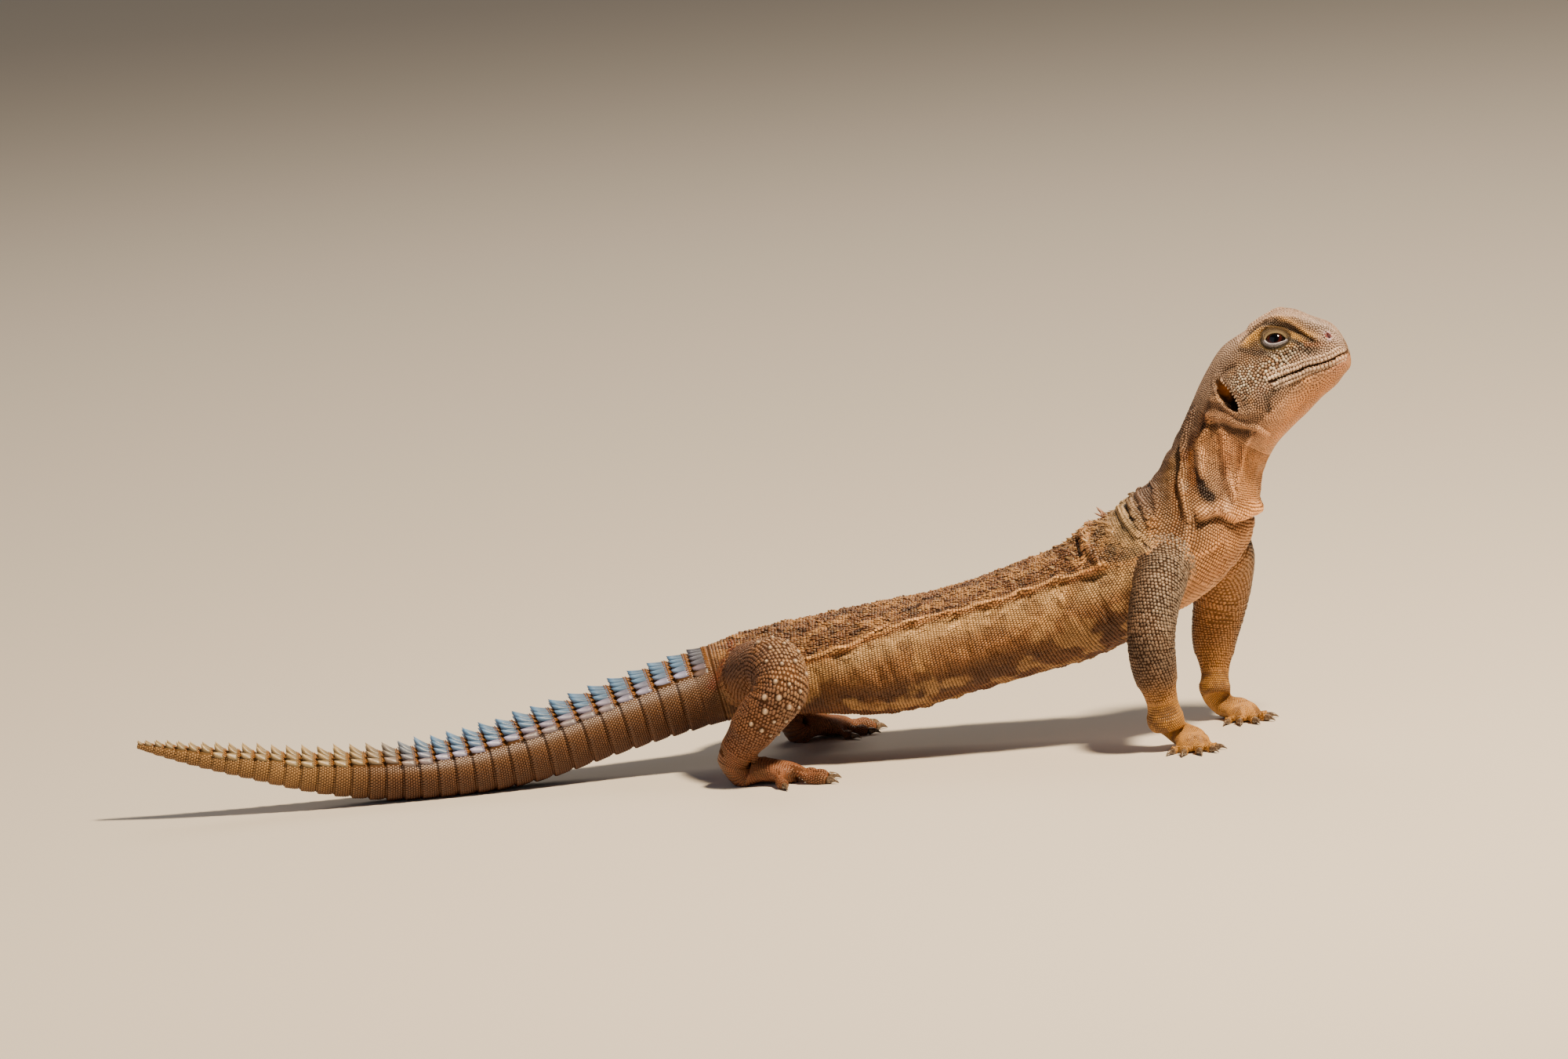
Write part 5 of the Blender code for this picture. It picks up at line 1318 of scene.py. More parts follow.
def limb_coat(name, skin):
    """Rows of scales along a limb, whitish beads in front of the arm, large beads and cones on the leg."""
    line = LINES[name]
    arm = name.startswith("arm")
    count, step = (42, 0.90) if arm else (44, 0.95)
    places = np.arange(0.8, line.length - 0.2, step)
    distance, angle, points, back, wide, stretch = limb_rows(name, places, count)
    feet, outward, near = settle(points, skin, 1.7)
    sparse = stretch < 0.80
    near &= ~sparse | (np.repeat(np.arange(len(places)), count) % 2 == 0)
    stretch = np.where(sparse, 1.9 * stretch, stretch)
    axes = lay(back, outward)
    share = distance / line.length
    shade = limb_paint(feet, name, share)
    draw = np.random.default_rng(41)
    chance = draw.random(len(feet))
    if arm:
        pale = facing(name, angle, 38.0, 66.0) * bell(share - 0.34, 0.34) * (0.3 + 0.7 * chance)
    else:
        pale = facing(name, angle, 40.0, 58.0) * bell(share - 0.45, 0.26) * (0.4 + 0.6 * chance)
    # Tops lighter than the paint as painted highlight, whitish where the beads are pale.
    top = washed(shade * 1.25, "b8a48e" if arm else "b8946e", np.clip(pale * 1.1, 0.0, 0.62))
    tall = 0.22 + 0.28 * pale
    grow = 0.98 + 0.22 * pale + 0.24 * (chance - 0.5)
    uv = np.column_stack([distance / line.length * 0.48, angle / GIRTH * 0.97 + 0.01])
    sizes = np.column_stack([step * stretch * grow * 1.08, wide * grow, tall])
    lean = 0.35 + 0.5 * pale
    cones = cone_spots(name)
    for spot in cones:
        near &= np.linalg.norm(feet - spot, axis=1) > 1.25
    feet, axes, sizes, shade, top, uv, lean = taken(near, feet, axes, sizes, shade, top, uv, lean)
    # Bases at a quarter of the colour: painted shade between the scales.
    stamps = [stamped(SCALE, SCALE_FACES, feet, axes, sizes, shade * 0.24, varied(top, 0.16, 5), uv, lean)]
    if len(cones):
        stamps.append(cone_scales(name, cones, skin))
    palm = palm_sheet(name, 84, 50)
    stamps += sheet_scales(palm, skin, lambda p: palm_paint(p, name), (0.5, 0.0, 0.24, 1.0), 2, 1, 3, 0.2)
    for place, radii, _, _, number in digit_stations(name):
        sheet = digit_sheet(place, radii, 44, 16)
        spot = (0.76, (number - 1) * 0.2, 0.23, 0.18)
        stamps += sheet_scales(sheet, skin, lambda p: palm_paint(p, name), spot, 2, 1, 3, 0.15)
    return join_stamps("scales_" + name, stamps)


def cone_spots(name):
    """Middles of the pale cones in staggered rows over the outer and front side of the hind leg."""
    if name.startswith("arm"):
        return np.zeros((0, 3))
    places, angles = [], []
    for row, place in enumerate((27.5, 31.5, 36.3, 40.6, 44.0, 48.5, 53.0)):
        for column in range(4 - row % 2):
            turn = math.radians(-24.0 + (column + 0.5 * (row % 2)) * 30.0)
            places.append(place + 0.7 * math.sin(2.1 * row + 3.3 * column))
            angles.append(turn if name.endswith("right") else math.pi - turn)
    return limb_skin(LINES[name], np.array(places), np.array(angles))


def cone_scales(name, spots, skin):
    """Pale cones 2.2 to 3 mm across and 1 to 1.4 mm tall on a ring of the leg's own colour, darkened as
    painted shade.
    """
    feet, outward, _ = settle(spots, skin, 9.0)
    axes = lay(np.broadcast_to(LINES[name].forward[900], feet.shape), outward)
    draw = np.random.default_rng(77)
    wide = draw.uniform(1.7, 2.7, len(feet))
    sizes = np.column_stack([wide, wide * 0.95, wide * 0.44])
    # The cone's base: the leg's colour darkened as painted shade.
    low = limb_paint(feet, name, np.full(len(feet), 0.6)) * 0.6
    top = np.broadcast_to(colour("cdb8a0"), feet.shape)
    uv = np.column_stack([draw.random(len(feet)) * 0.1 + 0.2, np.arange(len(feet)) / len(feet) * 0.9])
    return stamped(CONE, CONE_FACES, feet, axes, sizes, low, varied(top, 0.1, 8), uv)


CONE, CONE_FACES = bead_shape(9, 0.52, 0.66)
SCALE, SCALE_FACES = bead_shape(6, 0.74, 0.74)


def sheet_scales(sheet, skin, paint, spot, row_step, column_step, first_row, tall):
    """Scales at the knots of a sheet of rings, each as long and as wide as the space between knots."""
    rows, around = sheet.shape[:2]
    picked = np.arange(first_row, rows - 1, row_step)
    columns = np.arange(0, around, column_step)
    i, j = np.meshgrid(picked, columns, indexing="ij")
    j_turned = (j + (column_step / 2.0) * (np.arange(len(picked))[:, None] % 2)) % around
    low, high = np.floor(j_turned).astype(int), np.ceil(j_turned).astype(int) % around
    mid = (j_turned - low)[..., None]

    def at(row):
        """Points of a row at the turned columns."""
        row = np.clip(row, 0, rows - 1)
        return (sheet[row, low] * (1.0 - mid) + sheet[row, high] * mid).reshape(-1, 3)

    points = at(i)
    behind = at(i + 1)
    beside = np.roll(points.reshape(*i.shape, 3), -1, axis=1).reshape(-1, 3)
    long = np.linalg.norm(at(i + 1) - at(i - 1), axis=1) / 2.0 * row_step
    wide = np.linalg.norm(beside - points, axis=1)
    feet, outward, near = settle(points, skin, 0.95)
    near &= (wide > 0.15) & (long > 0.15) & (feet[:, 2] > 0.12)
    axes = lay(behind - points, outward)
    shade = paint(feet)
    uv = np.column_stack([spot[0] + i.ravel() / rows * spot[2],
        spot[1] + j_turned.ravel() / around * spot[3]])
    sizes = np.column_stack([long * 1.04, wide * 0.96, np.full(len(feet), tall)])
    feet, axes, sizes, shade, uv = taken(near, feet, axes, sizes, shade, uv * 0.97 + 0.01)
    # Painted shade at the bases and painted highlight on the tops.
    return [stamped(TILE, TILE_FACES, feet, axes, sizes, shade * 0.34, varied(shade * 1.25, 0.12, 6), uv)]


def head_size(distance, degrees):
    """Spacing of the head's scales in mm: larger on snout, crown and cheek, small by the eye."""
    size = 0.92 + 0.35 * bell(distance - 8.0, 9.0) * bell(degrees, 40.0)
    size = size + 0.25 * bell(distance - 20.0, 8.0) * bell(degrees, 24.0)
    size = size + 0.40 * bell(distance - 22.0, 9.0) * bell(degrees - 80.0, 9.0)
    size = size + 0.20 * bell(distance - 28.0, 6.0) * bell(degrees - 72.0, 16.0)
    size = size + 0.30 * bell(distance - 14.0, 14.0) * bell(degrees - 124.0, 14.0)
    size = size - 0.42 * bell(distance - 18.0, 9.0) * bell(degrees - 52.0, 18.0)
    return size - 0.26 * ease(distance, 36.0, 48.0)


def head_roots():
    """Places of the right side's scales: drawn by area, then pushed apart until they sit evenly."""
    draw = np.random.default_rng(53)
    rows, columns = 220, 150
    d = np.linspace(0.35, 48.0, rows)
    a = np.linspace(0.004, math.pi - 0.004, columns)
    grid_d, grid_a = np.meshgrid(d, a, indexing="ij")
    places = trunk_skin(grid_d, -grid_a)
    step_d = np.linalg.norm(np.gradient(places, d, axis=0), axis=-1)
    step_a = np.linalg.norm(np.gradient(places, a, axis=1), axis=-1)
    spacing = head_size(grid_d, np.degrees(grid_a))
    weight = (step_d * step_a / (0.80 * spacing**2)).ravel()
    number = int(weight.sum() * (d[1] - d[0]) * (a[1] - a[0]))
    chosen = np.searchsorted(np.cumsum(weight) / weight.sum(),
        (np.arange(number) + draw.random(number)) / number)
    i = chosen // columns + draw.random(number) - 0.5
    j = chosen % columns + draw.random(number) - 0.5
    fixed = labial_rows()
    where = np.vstack([fixed[:, :2], np.column_stack([np.interp(i, np.arange(rows), d), np.interp(j,
        np.arange(columns), a)])])
    size = np.concatenate([fixed[:, 2], head_size(where[len(fixed):, 0], np.degrees(where[len(fixed):, 1]))])
    held = len(fixed)
    along_grid, round_grid = unit(np.gradient(places, axis=0)), unit(np.gradient(places, axis=1))
    for _ in range(34):
        fi = np.clip((where[:, 0] - d[0]) / (d[1] - d[0]), 0, rows - 1.001)
        fj = np.clip((where[:, 1] - a[0]) / (a[1] - a[0]), 0, columns - 1.001)
        at = bilinear(places, fi, fj)
        sd, sa = bilinear(step_d[..., None], fi, fj)[:, 0], bilinear(step_a[..., None], fi, fj)[:, 0]
        back = bilinear(along_grid, fi, fj)
        aside = bilinear(round_grid, fi, fj)
        push = repulsion(at, size, where[:, 0])
        where[held:, 0] += np.clip(dot(push, back) / sd, -0.5, 0.5)[held:]
        where[held:, 1] += np.clip(dot(push, aside) / np.maximum(sa, 0.4), -0.3, 0.3)[held:]
        where[:, 0] = np.clip(where[:, 0], 0.35, 48.0)
        where[:, 1] = np.abs(where[:, 1])
        where[:, 1] = np.where(where[:, 1] > math.pi, GIRTH - where[:, 1], where[:, 1])
        size[held:] = head_size(where[held:, 0], np.degrees(where[held:, 1]))
    return where, size, held


def bilinear(values, i, j):
    """Values of a grid between its knots."""
    i0, j0 = np.floor(i).astype(int), np.floor(j).astype(int)
    s, t = (i - i0)[:, None], (j - j0)[:, None]
    return (
        values[i0, j0] * (1 - s) * (1 - t) + values[i0 + 1, j0] * s * (1 - t)
        + values[i0, j0 + 1] * (1 - s) * t + values[i0 + 1, j0 + 1] * s * t
    )


def repulsion(points, size, distance):
    """Sum of pushes from near points and mirror images: (1 - gap/reach) of the reach, away from each."""
    total = np.zeros_like(points)
    others = np.vstack([points, points - 2.0 * ((points - HEAD_MIDDLE) @ HEAD_ACROSS)[:,
        None] * HEAD_ACROSS])
    both, along = np.concatenate([size, size]), np.concatenate([distance, distance])
    order = np.argsort(distance)
    for start in range(0, len(points), 250):
        block = order[start:start + 250]
        near = (along > distance[block[0]] - 2.2) & (along < distance[block[-1]] + 2.2)
        some, mine = others[near], points[block]
        square = (mine**2).sum(1)[:, None] + (some**2).sum(1)[None] - 2.0 * mine @ some.T
        gap = np.sqrt(np.maximum(square, 1e-8))
        reach = 0.62 * (size[block][:, None] + both[near][None])
        pull = np.clip(1.0 - gap / reach, 0.0, 1.0) * reach * 0.30 / gap
        pull[gap < 1e-3] = 0.0
        total[block] = mine * pull.sum(1)[:, None] - pull @ some
    return total


def labial_rows():
    """Fixed rows of larger plates over and under the line of the mouth: distance, angle, size."""
    rows = []
    for side, gap, step in ((-1.0, 0.95, 1.35), (1.0, 0.95, 1.45), (-1.0, 2.05, 1.2), (1.0, 2.15, 1.3)):
        places = np.arange(1.2 if abs(gap) < 1.5 else 2.0, 27.0, step * 0.82)
        angle = mouth_angle(places) + side * gap / trunk_radius(places)
        rows.append(np.column_stack([places, angle, np.full(len(places), step * 0.86)]))
    return np.vstack(rows)


HEAD_LINE = SPINE_LINE.read(SPINE_LINE.centre, np.array([2.0, 46.0]))
HEAD_MIDDLE = HEAD_LINE.mean(axis=0)
HEAD_ACROSS = unit(np.cross(np.array([0.0, 0.0, 1.0]), HEAD_LINE[0] - HEAD_LINE[1]))


def head_coat(skin):
    """Scales of regional sizes: cream and domed on the cheek, plates on snout, lips and chin."""
    where, size, held = head_roots()
    pieces = []
    for name, side in SIDES.items():
        distance, angle = where[:, 0], where[:, 1] * side
        feet, axes, _, _, near = trunk_roots(distance, angle, skin, 1.4)
        degrees = np.degrees(where[:, 1])
        socket = pit(feet, eye_mark(side), 5.3, 4.3)
        ear = pit(feet, head_mark(EAR_AT, EAR_UP, side), *EAR_SIZE, EAR_TILT)
        nostril = pit(feet, head_mark(NOSTRIL_AT, NOSTRIL_UP, side), *NOSTRIL_SIZE, 0.5)
        mouth = np.abs(where[:, 1] - mouth_angle(distance)) * trunk_radius(distance)
        keep = near & (socket > 1.0) & (ear > 1.02) & (nostril > 1.75) & ((mouth > 0.42) | (distance > 27.5))
        draw = np.random.default_rng(61)
        chance = draw.random(len(size))
        domed = bell(distance - 23.0, 9.0) * bell(degrees - 80.0, 13.0)
        domed = np.maximum(domed, bell(distance - 33.0, 5.0) * bell(degrees - 72.0, 14.0))
        tall = 0.20 + 0.14 * bell(degrees - 78.0, 26.0) + 0.34 * domed * chance
        shade = trunk_paint(feet, distance, angle)
        cream = np.clip(domed * 1.2, 0.0, 1.0) * ease(chance, 0.1, 0.8)
        # Tops lighter than the paint, partly painted highlight; the cream of the domed cheek scales is their
        # own.
        top = washed(shade * 1.55 + 0.03, "f0e4d2", cream * 0.9)
        lips = np.arange(len(size)) < held
        top = np.where(lips[:, None], washed(top, "e6cdb8", np.full(len(size), 0.66)), top)
        grow = 1.08 + 0.22 * domed * (chance - 0.3)
        sizes = np.column_stack([size * grow, size * grow * 0.98, tall])
        uv = np.column_stack([distance / 49.0, where[:,
            1] / math.pi * 0.5 + (0.5 if side > 0 else 0.0)]) * 0.97 + 0.012
        plate = (lips | (degrees > 112.0) | ((degrees < 34.0) & (distance < 30.0))) & keep
        stamps = []
        for chosen, form, faces in ((plate, PLATE, PLATE_FACES), (keep & ~plate, BEAD, BEAD_FACES)):
            part = taken(chosen, feet, axes, sizes, shade, varied(top, 0.17, 9), uv)
            # Bases at about a fifth of the colour: painted shade between the scales.
            stamps.append(stamped(form, faces, part[0], part[1], part[2], part[3] * 0.22, part[4], part[5]))
        stamps.append(ear_fringe(side, skin))
        stamps.append(snout_scales(side, skin))
        pieces.append(join_stamps("scales_head_" + name, stamps))
    return pieces


def ear_fringe(side, skin):
    """A row of pale pointed scales along the front edge of the ear, leaning over the opening."""
    place, outward, forward, upward = head_mark(EAR_AT, EAR_UP, side)
    turn = np.radians(np.linspace(-66.0, 70.0, 13))
    along, across = EAR_SIZE[0] * 1.02 * np.cos(turn), EAR_SIZE[1] * 1.02 * np.sin(turn)
    ahead = along * math.cos(EAR_TILT) - across * math.sin(EAR_TILT)
    above = along * math.sin(EAR_TILT) + across * math.cos(EAR_TILT)
    feet, normal, _ = settle(place + ahead[:, None] * forward + above[:, None] * upward, skin, 9.0)
    inward = -(np.cos(turn)[:, None] * forward + 0.25 * np.sin(turn)[:, None] * upward)
    axes = lay(inward, unit(normal + outward * 1.5))
    sizes = np.column_stack([np.full(13, 1.15), np.full(13, 1.0), np.full(13, 0.6)])
    shade = np.broadcast_to(colour("d2b49c"), feet.shape)
    uv = np.column_stack([np.full(13, 0.8), np.linspace(0.32, 0.42, 13)])
    # Bases darker as painted shade.
    return stamped(BEAD, BEAD_FACES, feet, axes, sizes, shade * 0.45, shade, uv, np.full(13, 0.8), 0.3)


def snout_scales(side, skin):
    """Scales on the flat tip of the snout, which the rows of the head don't reach."""
    share = np.repeat([0.95, 0.58, 0.22], [7, 4, 2])
    angle = np.concatenate([(np.arange(n) + 0.5) / n * math.pi for n in (7, 4, 2)])
    clear = np.abs(angle - mouth_angle(np.ones(len(angle)))) > 0.24
    share, angle = share[clear], angle[clear] * side
    at_tip = np.full(len(angle), 0.1)
    ring = trunk_skin(at_tip, angle)
    middle = (ring + trunk_skin(at_tip, -angle)).mean(axis=0) / 2.0
    feet, outward, _ = settle(middle + (ring - middle) * share[:, None], skin, 9.0)
    sizes = np.column_stack([np.full(len(angle), 1.1), np.full(len(angle), 1.05), np.full(len(angle), 0.24)])
    shade = np.broadcast_to(colour("7d6552"), feet.shape)
    uv = np.column_stack([share * 0.02, (angle / math.pi * 0.5 + (0.5 if side > 0 else 0.0)) * 0.97 + 0.012])
    uv[:, 0] += 0.004
    # Painted shade at the bases, painted highlight on the tops.
    return stamped(PLATE, PLATE_FACES, feet, lay(ring - middle, outward), sizes, shade * 0.22,
        shade * 1.5, uv)


def lid_edge(turn):
    """Direction angles of the lids' edge round the eye: an almond with its front corner drawn down."""
    ahead = LID_CORNER * np.cos(turn) * (1.0 + 0.10 * np.cos(turn))
    above = np.sign(np.sin(turn)) * np.abs(np.sin(turn)) ** 1.3 * np.where(np.sin(turn) > 0, 21.0, 26.0)
    return np.radians(ahead), np.radians(above - 5.0 * ease(np.cos(turn), 0.55, 1.0))


def lid_sheet(axes, skin, columns=96, rows=26):
    """Rings round the eye: inside the lid, over its rim, and out along a curve that ends flush on the skin.

    The curve is a cubic: it leaves the eyeball along the ball and meets the skin along the skin.
    """
    centre, outward, forward, upward = axes
    turn = np.arange(columns) / columns * GIRTH
    ahead, above = lid_edge(turn)
    size = np.hypot(ahead, above)[:, None]
    aside = (ahead[:, None] * forward + above[:, None] * upward) / size
    edge = outward * np.cos(size) + aside * np.sin(size)
    slope = aside * np.cos(size) - outward * np.sin(size)
    rim = centre + outward * EYE_SUNK + 5.75 * np.cos(turn)[:, None] * forward + 4.75 * np.sin(turn)[:,
        None] * upward
    rim, normal, _ = settle(rim, skin, 9.0)
    rim = rim - normal * 0.05
    start = centre + edge * (EYE_RADIUS + 0.62)
    reach = np.linalg.norm(rim - start, axis=1)[:, None]
    away = unit(rim - start)
    leave = unit(slope) * reach * 1.1
    arrive = unit(away - normal * dot(away, normal)[:, None]) * reach * 0.9
    t = np.linspace(0.0, 1.0, rows)[:, None, None]
    curve = (
        (2 * t**3 - 3 * t**2 + 1) * start + (t**3 - 2 * t**2 + t) * leave
        + (3 * t**2 - 2 * t**3) * rim + (t**3 - t**2) * arrive
    )
    lift = unit(edge + normal)
    upper = (np.sin(turn) > -0.15)[None, :, None]
    fold = 0.16 * np.sin(t * 17.0 + 1.0) * ease(t, 0.04, 0.2) * (1.0 - ease(t, 0.8, 1.0))
    curve = curve + lift * np.where(upper, fold, 0.5 * fold)
    hidden = [centre + unit(edge + slope * 0.55) * (EYE_RADIUS + 0.06)]
    inner = [centre + edge * (EYE_RADIUS + 0.05), centre + edge * (EYE_RADIUS + 0.18) - slope * 0.10]
    top = [centre + edge * (EYE_RADIUS + 0.45) - slope * 0.10]
    last = [rim - normal * 1.0]
    return np.concatenate([np.array(hidden + inner + top), curve, np.array(last)]), turn


def lid_paint(sheet, turn, shade_of):
    """Lilac-white along the lower rim, cream along the upper, a dark crease, then ochre."""
    t = np.concatenate([np.zeros(4), np.linspace(0.0, 1.0, len(sheet) - 5), [1.0]])[:,
        None] + 0.0 * turn[None, :]
    below = ease(-np.sin(turn), -0.1, 0.35)[None, :] + 0.0 * t
    shade = shade_of
    shade = washed(shade, "a07a44", ease(t, 0.28, 0.5) * (1.0 - ease(t, 0.75, 1.0)) * (1.0 - below) * 0.8)
    shade = washed(shade, "b59c7c", (1.0 - ease(t, 0.32, 0.46)) * (1.0 - below))
    shade = washed(shade, "6e5a42", (1.0 - ease(t, 0.5, 0.7)) * below)
    shade = washed(shade, "ded8e4", (1.0 - ease(t, 0.24, 0.34)) * below)
    shade = washed(shade, "d8c396", bell(t - 0.03, 0.05) * (1.0 - below) * 0.8)
    shade = washed(shade, "33241a", bell(t - 0.42, 0.06) * (0.5 + 0.4 * (1.0 - below)))
    corners = bell(np.sin(turn), 0.22)[None, :] * (1.0 - ease(t, 0.5, 0.8))
    return washed(shade, "3a2a1e", corners * 0.75)


def lid_piece(side_name, side, skin):
    """The two lids as one smooth ring, with small beads in rings over them."""
    axes = eye_axes(side)
    sheet, turn = lid_sheet(axes, skin)
    rows, columns = sheet.shape[:2]
    spot = np.broadcast_to(colour("a58a5c"), sheet.shape)
    shade = lid_paint(sheet, turn, spot)
    faces = sheet_faces(rows, columns)
    last = np.arange(columns)
    closing = np.stack([last + (rows - 1) * columns, (last + 1) % columns + (rows - 1) * columns,
                        (last + 1) % columns, last], axis=-1)
    faces = np.vstack([faces, closing])
    if side < 0:
        faces = faces[:, ::-1]
    skin_part = mesh_piece("lids_" + side_name, sheet, faces.tolist())
    paint_mesh(skin_part.data, shade.reshape(-1, 3) * 0.75)
    i, j = np.meshgrid(np.arange(5, rows - 2, 2), np.arange(0, columns), indexing="ij")
    points = sheet[i, j].reshape(-1, 3)
    back = (sheet[i, (j + 1) % columns] - sheet[i, j]).reshape(-1, 3)
    across = (sheet[i + 1, j] - sheet[i - 1, j]).reshape(-1, 3)
    normal = unit(np.cross(across, back)) * side
    spread = np.linalg.norm(back, axis=1)
    keep = (np.arange(len(points)) % 2 == (i.ravel() // 2) % 2) | (spread > 0.42)
    size = np.where(spread > 0.42, spread, 2.0 * spread) * 1.02
    step = np.linalg.norm(across, axis=1)
    sizes = np.column_stack([size, np.maximum(step * 0.98, 0.2), np.full(len(size), 0.12)])
    uv = np.column_stack([j.ravel() / columns, i.ravel() / rows]) * 0.95 + 0.02
    top = shade[i, j].reshape(-1, 3)
    points, axes, sizes, top, uv = taken(keep, points, lay(back, normal), sizes, top, uv)
    # Painted shade at the beads' bases, painted highlight on their tops.
    stamp = stamped(BEAD, BEAD_FACES, points, axes, sizes, top * 0.4, varied(top * 1.15, 0.1, 4), uv,
        None, 0.1)
    return [skin_part, join_stamps("lid_beads_" + side_name, [stamp])]


def claw_piece(name, root, way, thick):
    """A curved cone: drop as the power 1.7 of the way out, half thickness 1 - 0.93 s^1.25."""
    share = np.linspace(0.0, 1.0, 12)
    drop = (root[2] - 0.35) * share**1.7
    rise = 0.5 * np.sin(share * math.pi)
    points = root + np.outer(share * 3.9 + 0.1, way) + np.outer(rise - drop, [0.0, 0.0, 1.0])
    radii = thick * 0.54 * (1.0 - 0.93 * share**1.25)
    points[:, 2] = np.maximum(points[:, 2], radii * 1.1 + 0.05)
    forward = unit(np.gradient(points, axis=0))
    across = unit(np.cross(forward, np.array([0.0, 0.0, 1.0])))
    upward = np.cross(across, forward)
    angle = np.arange(14) / 14 * GIRTH
    ring = across[:, None] * np.cos(angle)[None, :, None] + 1.15 * upward[:, None] * np.sin(angle)[None,
        :, None]
    return closed_tube(name, points[:, None] + ring * radii[:, None, None])


def eyeball_piece(name, side):
    """A ball with its pole outward, coloured by the angle from the pole."""
    centre, outward, forward, upward = eye_axes(side)
    polar = np.linspace(0.012, math.pi - 0.012, 40)
    turn = np.arange(48) / 48 * GIRTH
    direction = (
        np.cos(polar)[:, None, None] * outward
        + np.sin(polar)[:, None, None] * (np.cos(turn)[None, :, None] * forward + np.sin(turn)[None, :,
        None] * upward * -side)
    )
    bulge = 0.10 * bell(np.degrees(polar), 26.0)[:, None, None]
    sheet = centre + (EYE_RADIUS - 0.12 + bulge) * direction
    item = closed_tube(name, sheet)
    degrees = np.degrees(polar)[:, None] * np.ones((1, 48))
    spokes = 0.5 + 0.5 * np.sin(turn * 17.0 + 2.0 * np.sin(turn * 5.0))[None, :]
    shade = np.broadcast_to(colour("2c100a"), sheet.shape)
    shade = washed(shade, "5a2412", spokes * bell(degrees - 28.0, 5.0) * 0.8)
    shade = washed(shade, "010101", 1.0 - ease(degrees, 20.5, 22.5))
    shade = washed(shade, "140a07", ease(degrees, 33.0, 37.0))
    paint_mesh(item.data, shade.reshape(-1, 3))
    return item


def eye_surface():
    """Wet eye: clear cornea over a dark red-brown iris and black pupil, mirror-smooth."""
    material, tree, shader = new_material("wet_eye")
    tint = add_node(tree, "ShaderNodeAttribute", attribute_name="tint")
    tree.links.new(tint.outputs["Color"], shader.inputs["Base Color"])
    shader.inputs["Roughness"].default_value = 0.06
    shader.inputs["IOR"].default_value = 1.376
    shader.inputs["Coat Weight"].default_value = 0.6
    shader.inputs["Coat Roughness"].default_value = 0.03
    return material


def claw_horn():
    """Claw keratin: dark brown horn, smooth, with fine lengthwise grain."""
    material, tree, shader = new_material("claw_horn")
    place = add_node(tree, "ShaderNodeTexCoord").outputs["Object"]
    grain = add_node(tree, "ShaderNodeTexNoise", {"Vector": place, "Scale": 1.0 / 0.0006, "Detail": 3.0})
    ramp = add_node(tree, "ShaderNodeValToRGB", {"Fac": grain.outputs[0]})
    ramp.color_ramp.elements[0].color, ramp.color_ramp.elements[1].color = rgba("3a281c"), rgba("8a745c")
    ramp.color_ramp.elements[0].position, ramp.color_ramp.elements[1].position = 0.35, 0.75
    tree.links.new(ramp.outputs[0], shader.inputs["Base Color"])
    shader.inputs["Roughness"].default_value = 0.34
    shader.inputs["IOR"].default_value = 1.55
    return material


def add_node(tree, kind, inputs=None, **settings):
    """Adds a node, sets its properties, and fills or links its inputs."""
    made = tree.nodes.new(kind)
    for key, value in settings.items():
        setattr(made, key, value)
    for key, value in (inputs or {}).items():
        if isinstance(value, bpy.types.NodeSocket):
            tree.links.new(value, made.inputs[key])
        else:
            made.inputs[key].default_value = value
    return made


def new_material(name):
    """An empty material with its shader and output joined."""
    material = bpy.data.materials.new(name)
    material.use_nodes = True
    tree = material.node_tree
    tree.nodes.clear()
    shader = add_node(tree, "ShaderNodeBsdfPrincipled")
    add_node(tree, "ShaderNodeOutputMaterial", {"Surface": shader.outputs[0]})
    return material, tree, shader


def rgba(code):
    """A hex colour as the four numbers of a socket."""
    return (*colour(code), 1.0)


def scaly_skin(name, smooth, dull, shine):
    """Dry keratin of a lizard's scales or the soft skin between: unevenly rough and finely creased."""
    material, tree, shader = new_material(name)
    tint = add_node(tree, "ShaderNodeAttribute", attribute_name="tint")
    place = add_node(tree, "ShaderNodeTexCoord").outputs["Object"]
    # 0.5 mm creases, as fine as the render can show
    creases = add_node(tree, "ShaderNodeTexNoise", {"Vector": place, "Scale": 1.0 / 0.0005, "Detail": 3.0})
    cloud = add_node(tree, "ShaderNodeTexNoise", {"Vector": place, "Scale": 1.0 / 0.004, "Detail": 4.0})
    vary = add_node(tree, "ShaderNodeMapRange", {"Value": cloud.outputs[0], "To Min": 0.84, "To Max": 1.14})
    mixed = add_node(tree, "ShaderNodeVectorMath", {0: tint.outputs["Color"], 3: vary.outputs[0]},
        operation="SCALE")
    rough = add_node(tree, "ShaderNodeMapRange", {"Value": cloud.outputs[0], "To Min": smooth,
        "To Max": dull})
    bump = add_node(tree, "ShaderNodeBump", {"Height": creases.outputs[0], "Strength": 0.35,
        "Distance": 0.0002})
    tree.links.new(mixed.outputs[0], shader.inputs["Base Color"])
    tree.links.new(rough.outputs[0], shader.inputs["Roughness"])
    tree.links.new(bump.outputs[0], shader.inputs["Normal"])
    shader.inputs["IOR"].default_value = 1.5
    shader.inputs["Specular IOR Level"].default_value = shine
    return material


def wear(item, material, *slots):
    """Gives a piece its material and rides it on the one body."""
    item.data.materials.clear()
    item.data.materials.append(material)
    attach(item, "root")
    return item


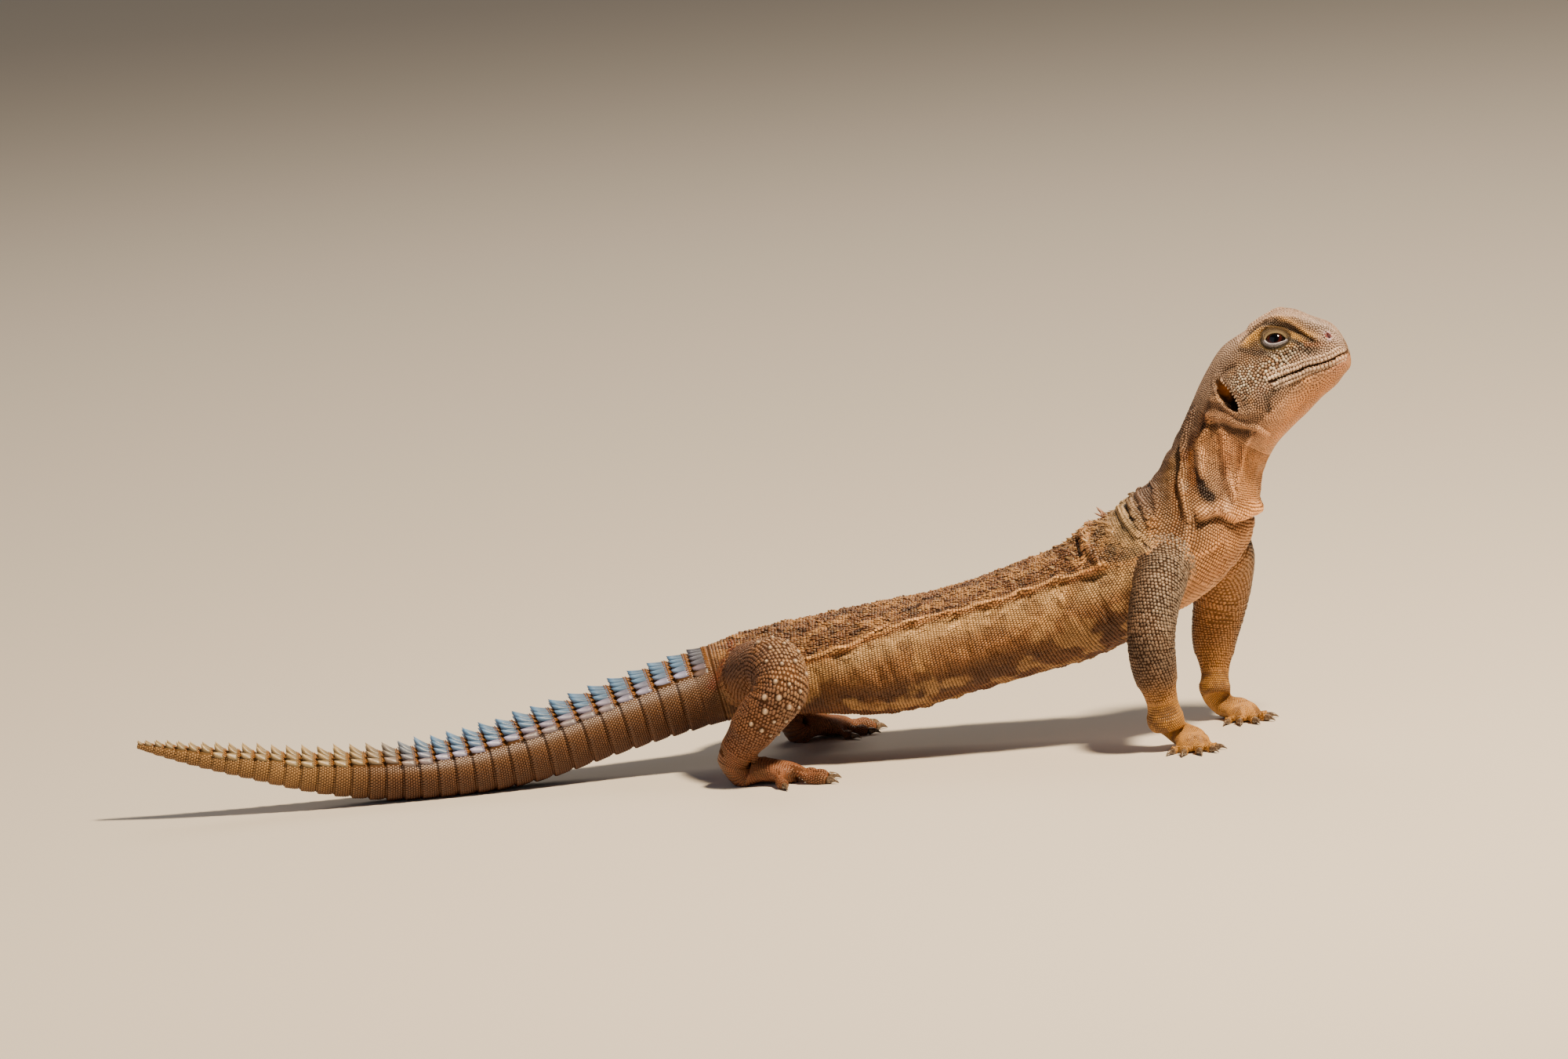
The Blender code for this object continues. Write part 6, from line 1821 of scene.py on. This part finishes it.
def camera_and_light():
    """Camera level with the animal's right side, 9 degrees up; warm key from the front, cool fill."""
    aim = np.array([0.01395, -0.00845, 0.07647])
    rise = math.radians(9.0)
    look = mathutils.Vector((0.0, math.cos(rise), -math.sin(rise)))
    lens = bpy.data.cameras.new("camera")
    lens.lens, lens.sensor_width = 300.0, 36.0
    camera = bpy.data.objects.new("camera", lens)
    bpy.context.scene.collection.objects.link(camera)
    place = mathutils.Matrix.Translation(mathutils.Vector(aim) - look * (0.5 * 300.0 / 36.0))
    turn = look.to_track_quat("-Z", "Y").to_matrix().to_4x4()
    camera.matrix_world = place @ turn @ mathutils.Matrix.Rotation(math.radians(-5.0), 4, "Z")
    bpy.context.scene.camera = camera
    for name, spot, size, power, code in LIGHTS:
        lamp = bpy.data.lights.new(name, "AREA")
        lamp.size, lamp.energy, lamp.color = size, power, tuple(colour(code))
        item = bpy.data.objects.new(name, lamp)
        bpy.context.scene.collection.objects.link(item)
        spot = mathutils.Vector(spot)
        way = mathutils.Vector((0.05, 0.0, 0.06)) - spot
        item.matrix_world = mathutils.Matrix.Translation(spot) @ way.to_track_quat("-Z",
            "Y").to_matrix().to_4x4()
    world = bpy.data.worlds.new("studio")
    world.use_nodes = True
    world.node_tree.nodes["Background"].inputs[0].default_value = rgba("cdd3dc")
    world.node_tree.nodes["Background"].inputs[1].default_value = 0.13
    bpy.context.scene.world = world


LIGHTS = (
    ("key", (0.62, -0.50, 1.30), 0.16, 58.0, "ffe6c0"),
    ("fill", (-0.9, -0.9, 0.7), 1.4, 2.0, "e6ecff"),
    ("rim", (0.1, 1.2, 1.1), 0.8, 7.0, "fff0dc"),
)


def floor_piece():
    """A plain pale sheet under the animal."""
    corners = np.array([(-6.0, -4.0, 0), (6.0, -4.0, 0), (6.0, 9.0, 0), (-6.0, 9.0, 0)]) / MM
    item = mesh_piece("floor", corners, [(0, 1, 2, 3)], smooth=False)
    material, _, shader = new_material("matt_paper")
    shader.inputs["Base Color"].default_value = rgba("d8d0c6")
    shader.inputs["Roughness"].default_value = 0.9
    item.data.materials.append(material)
    return item


# Lengths of the trunk's coat: name, start and end in mm, scales to a row, finish.
COAT_LENGTHS = (
    ("neck", 48.3, 68.0, 142, "neck_skin"),
    ("shoulder", 68.3, 92.0, 126, "neck_skin"),
    ("body", 92.4, 247.4, 168, "body_scales"),
)


def main():
    """Builds skin, coats, eyes, claws, floor, camera and light, and hides the parts that each replaces."""
    skin = skin_piece()
    scaly = scaly_skin("lizard_scales", 0.30, 0.50, 0.5)
    bare = scaly_skin("lizard_skin", 0.75, 0.90, 0.15)
    flesh = [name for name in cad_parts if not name.startswith(("claw", "eye"))]
    wear(skin, bare, "body_scales")
    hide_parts(*flesh)
    for name, start, end, count, slot in COAT_LENGTHS:
        for item in trunk_coat(name, start, end, count, skin):
            wear(item, scaly, slot)
    for item in tail_coat(skin):
        wear(item, scaly, "tail_scales")
    wear(flakes(skin), scaly, "body_scales")
    for name in LINES:
        wear(limb_coat(name, skin), scaly, "limb_scales")
    for item in head_coat(skin):
        wear(item, scaly, "head_scales")
    horn, wet = claw_horn(), eye_surface()
    for name, side in SIDES.items():
        for item in lid_piece(name, side, skin):
            wear(item, scaly, "head_scales")
        eye = wear(eyeball_piece("eyeball_" + name, side), wet, "eye")
        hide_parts("eye_" + name)
    for name in LINES:
        kind, side = name.split("_")
        noun = "hand" if kind == "arm" else "foot"
        for place, _, way, thick, number in digit_stations(name):
            claw = wear(claw_piece(f"horn_{noun}_{side}_{number}", place[-1], way, thick), horn, "claw_horn")
            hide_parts(f"claw_{noun}_{side}_{number}")
    floor_piece()
    camera_and_light()


main()
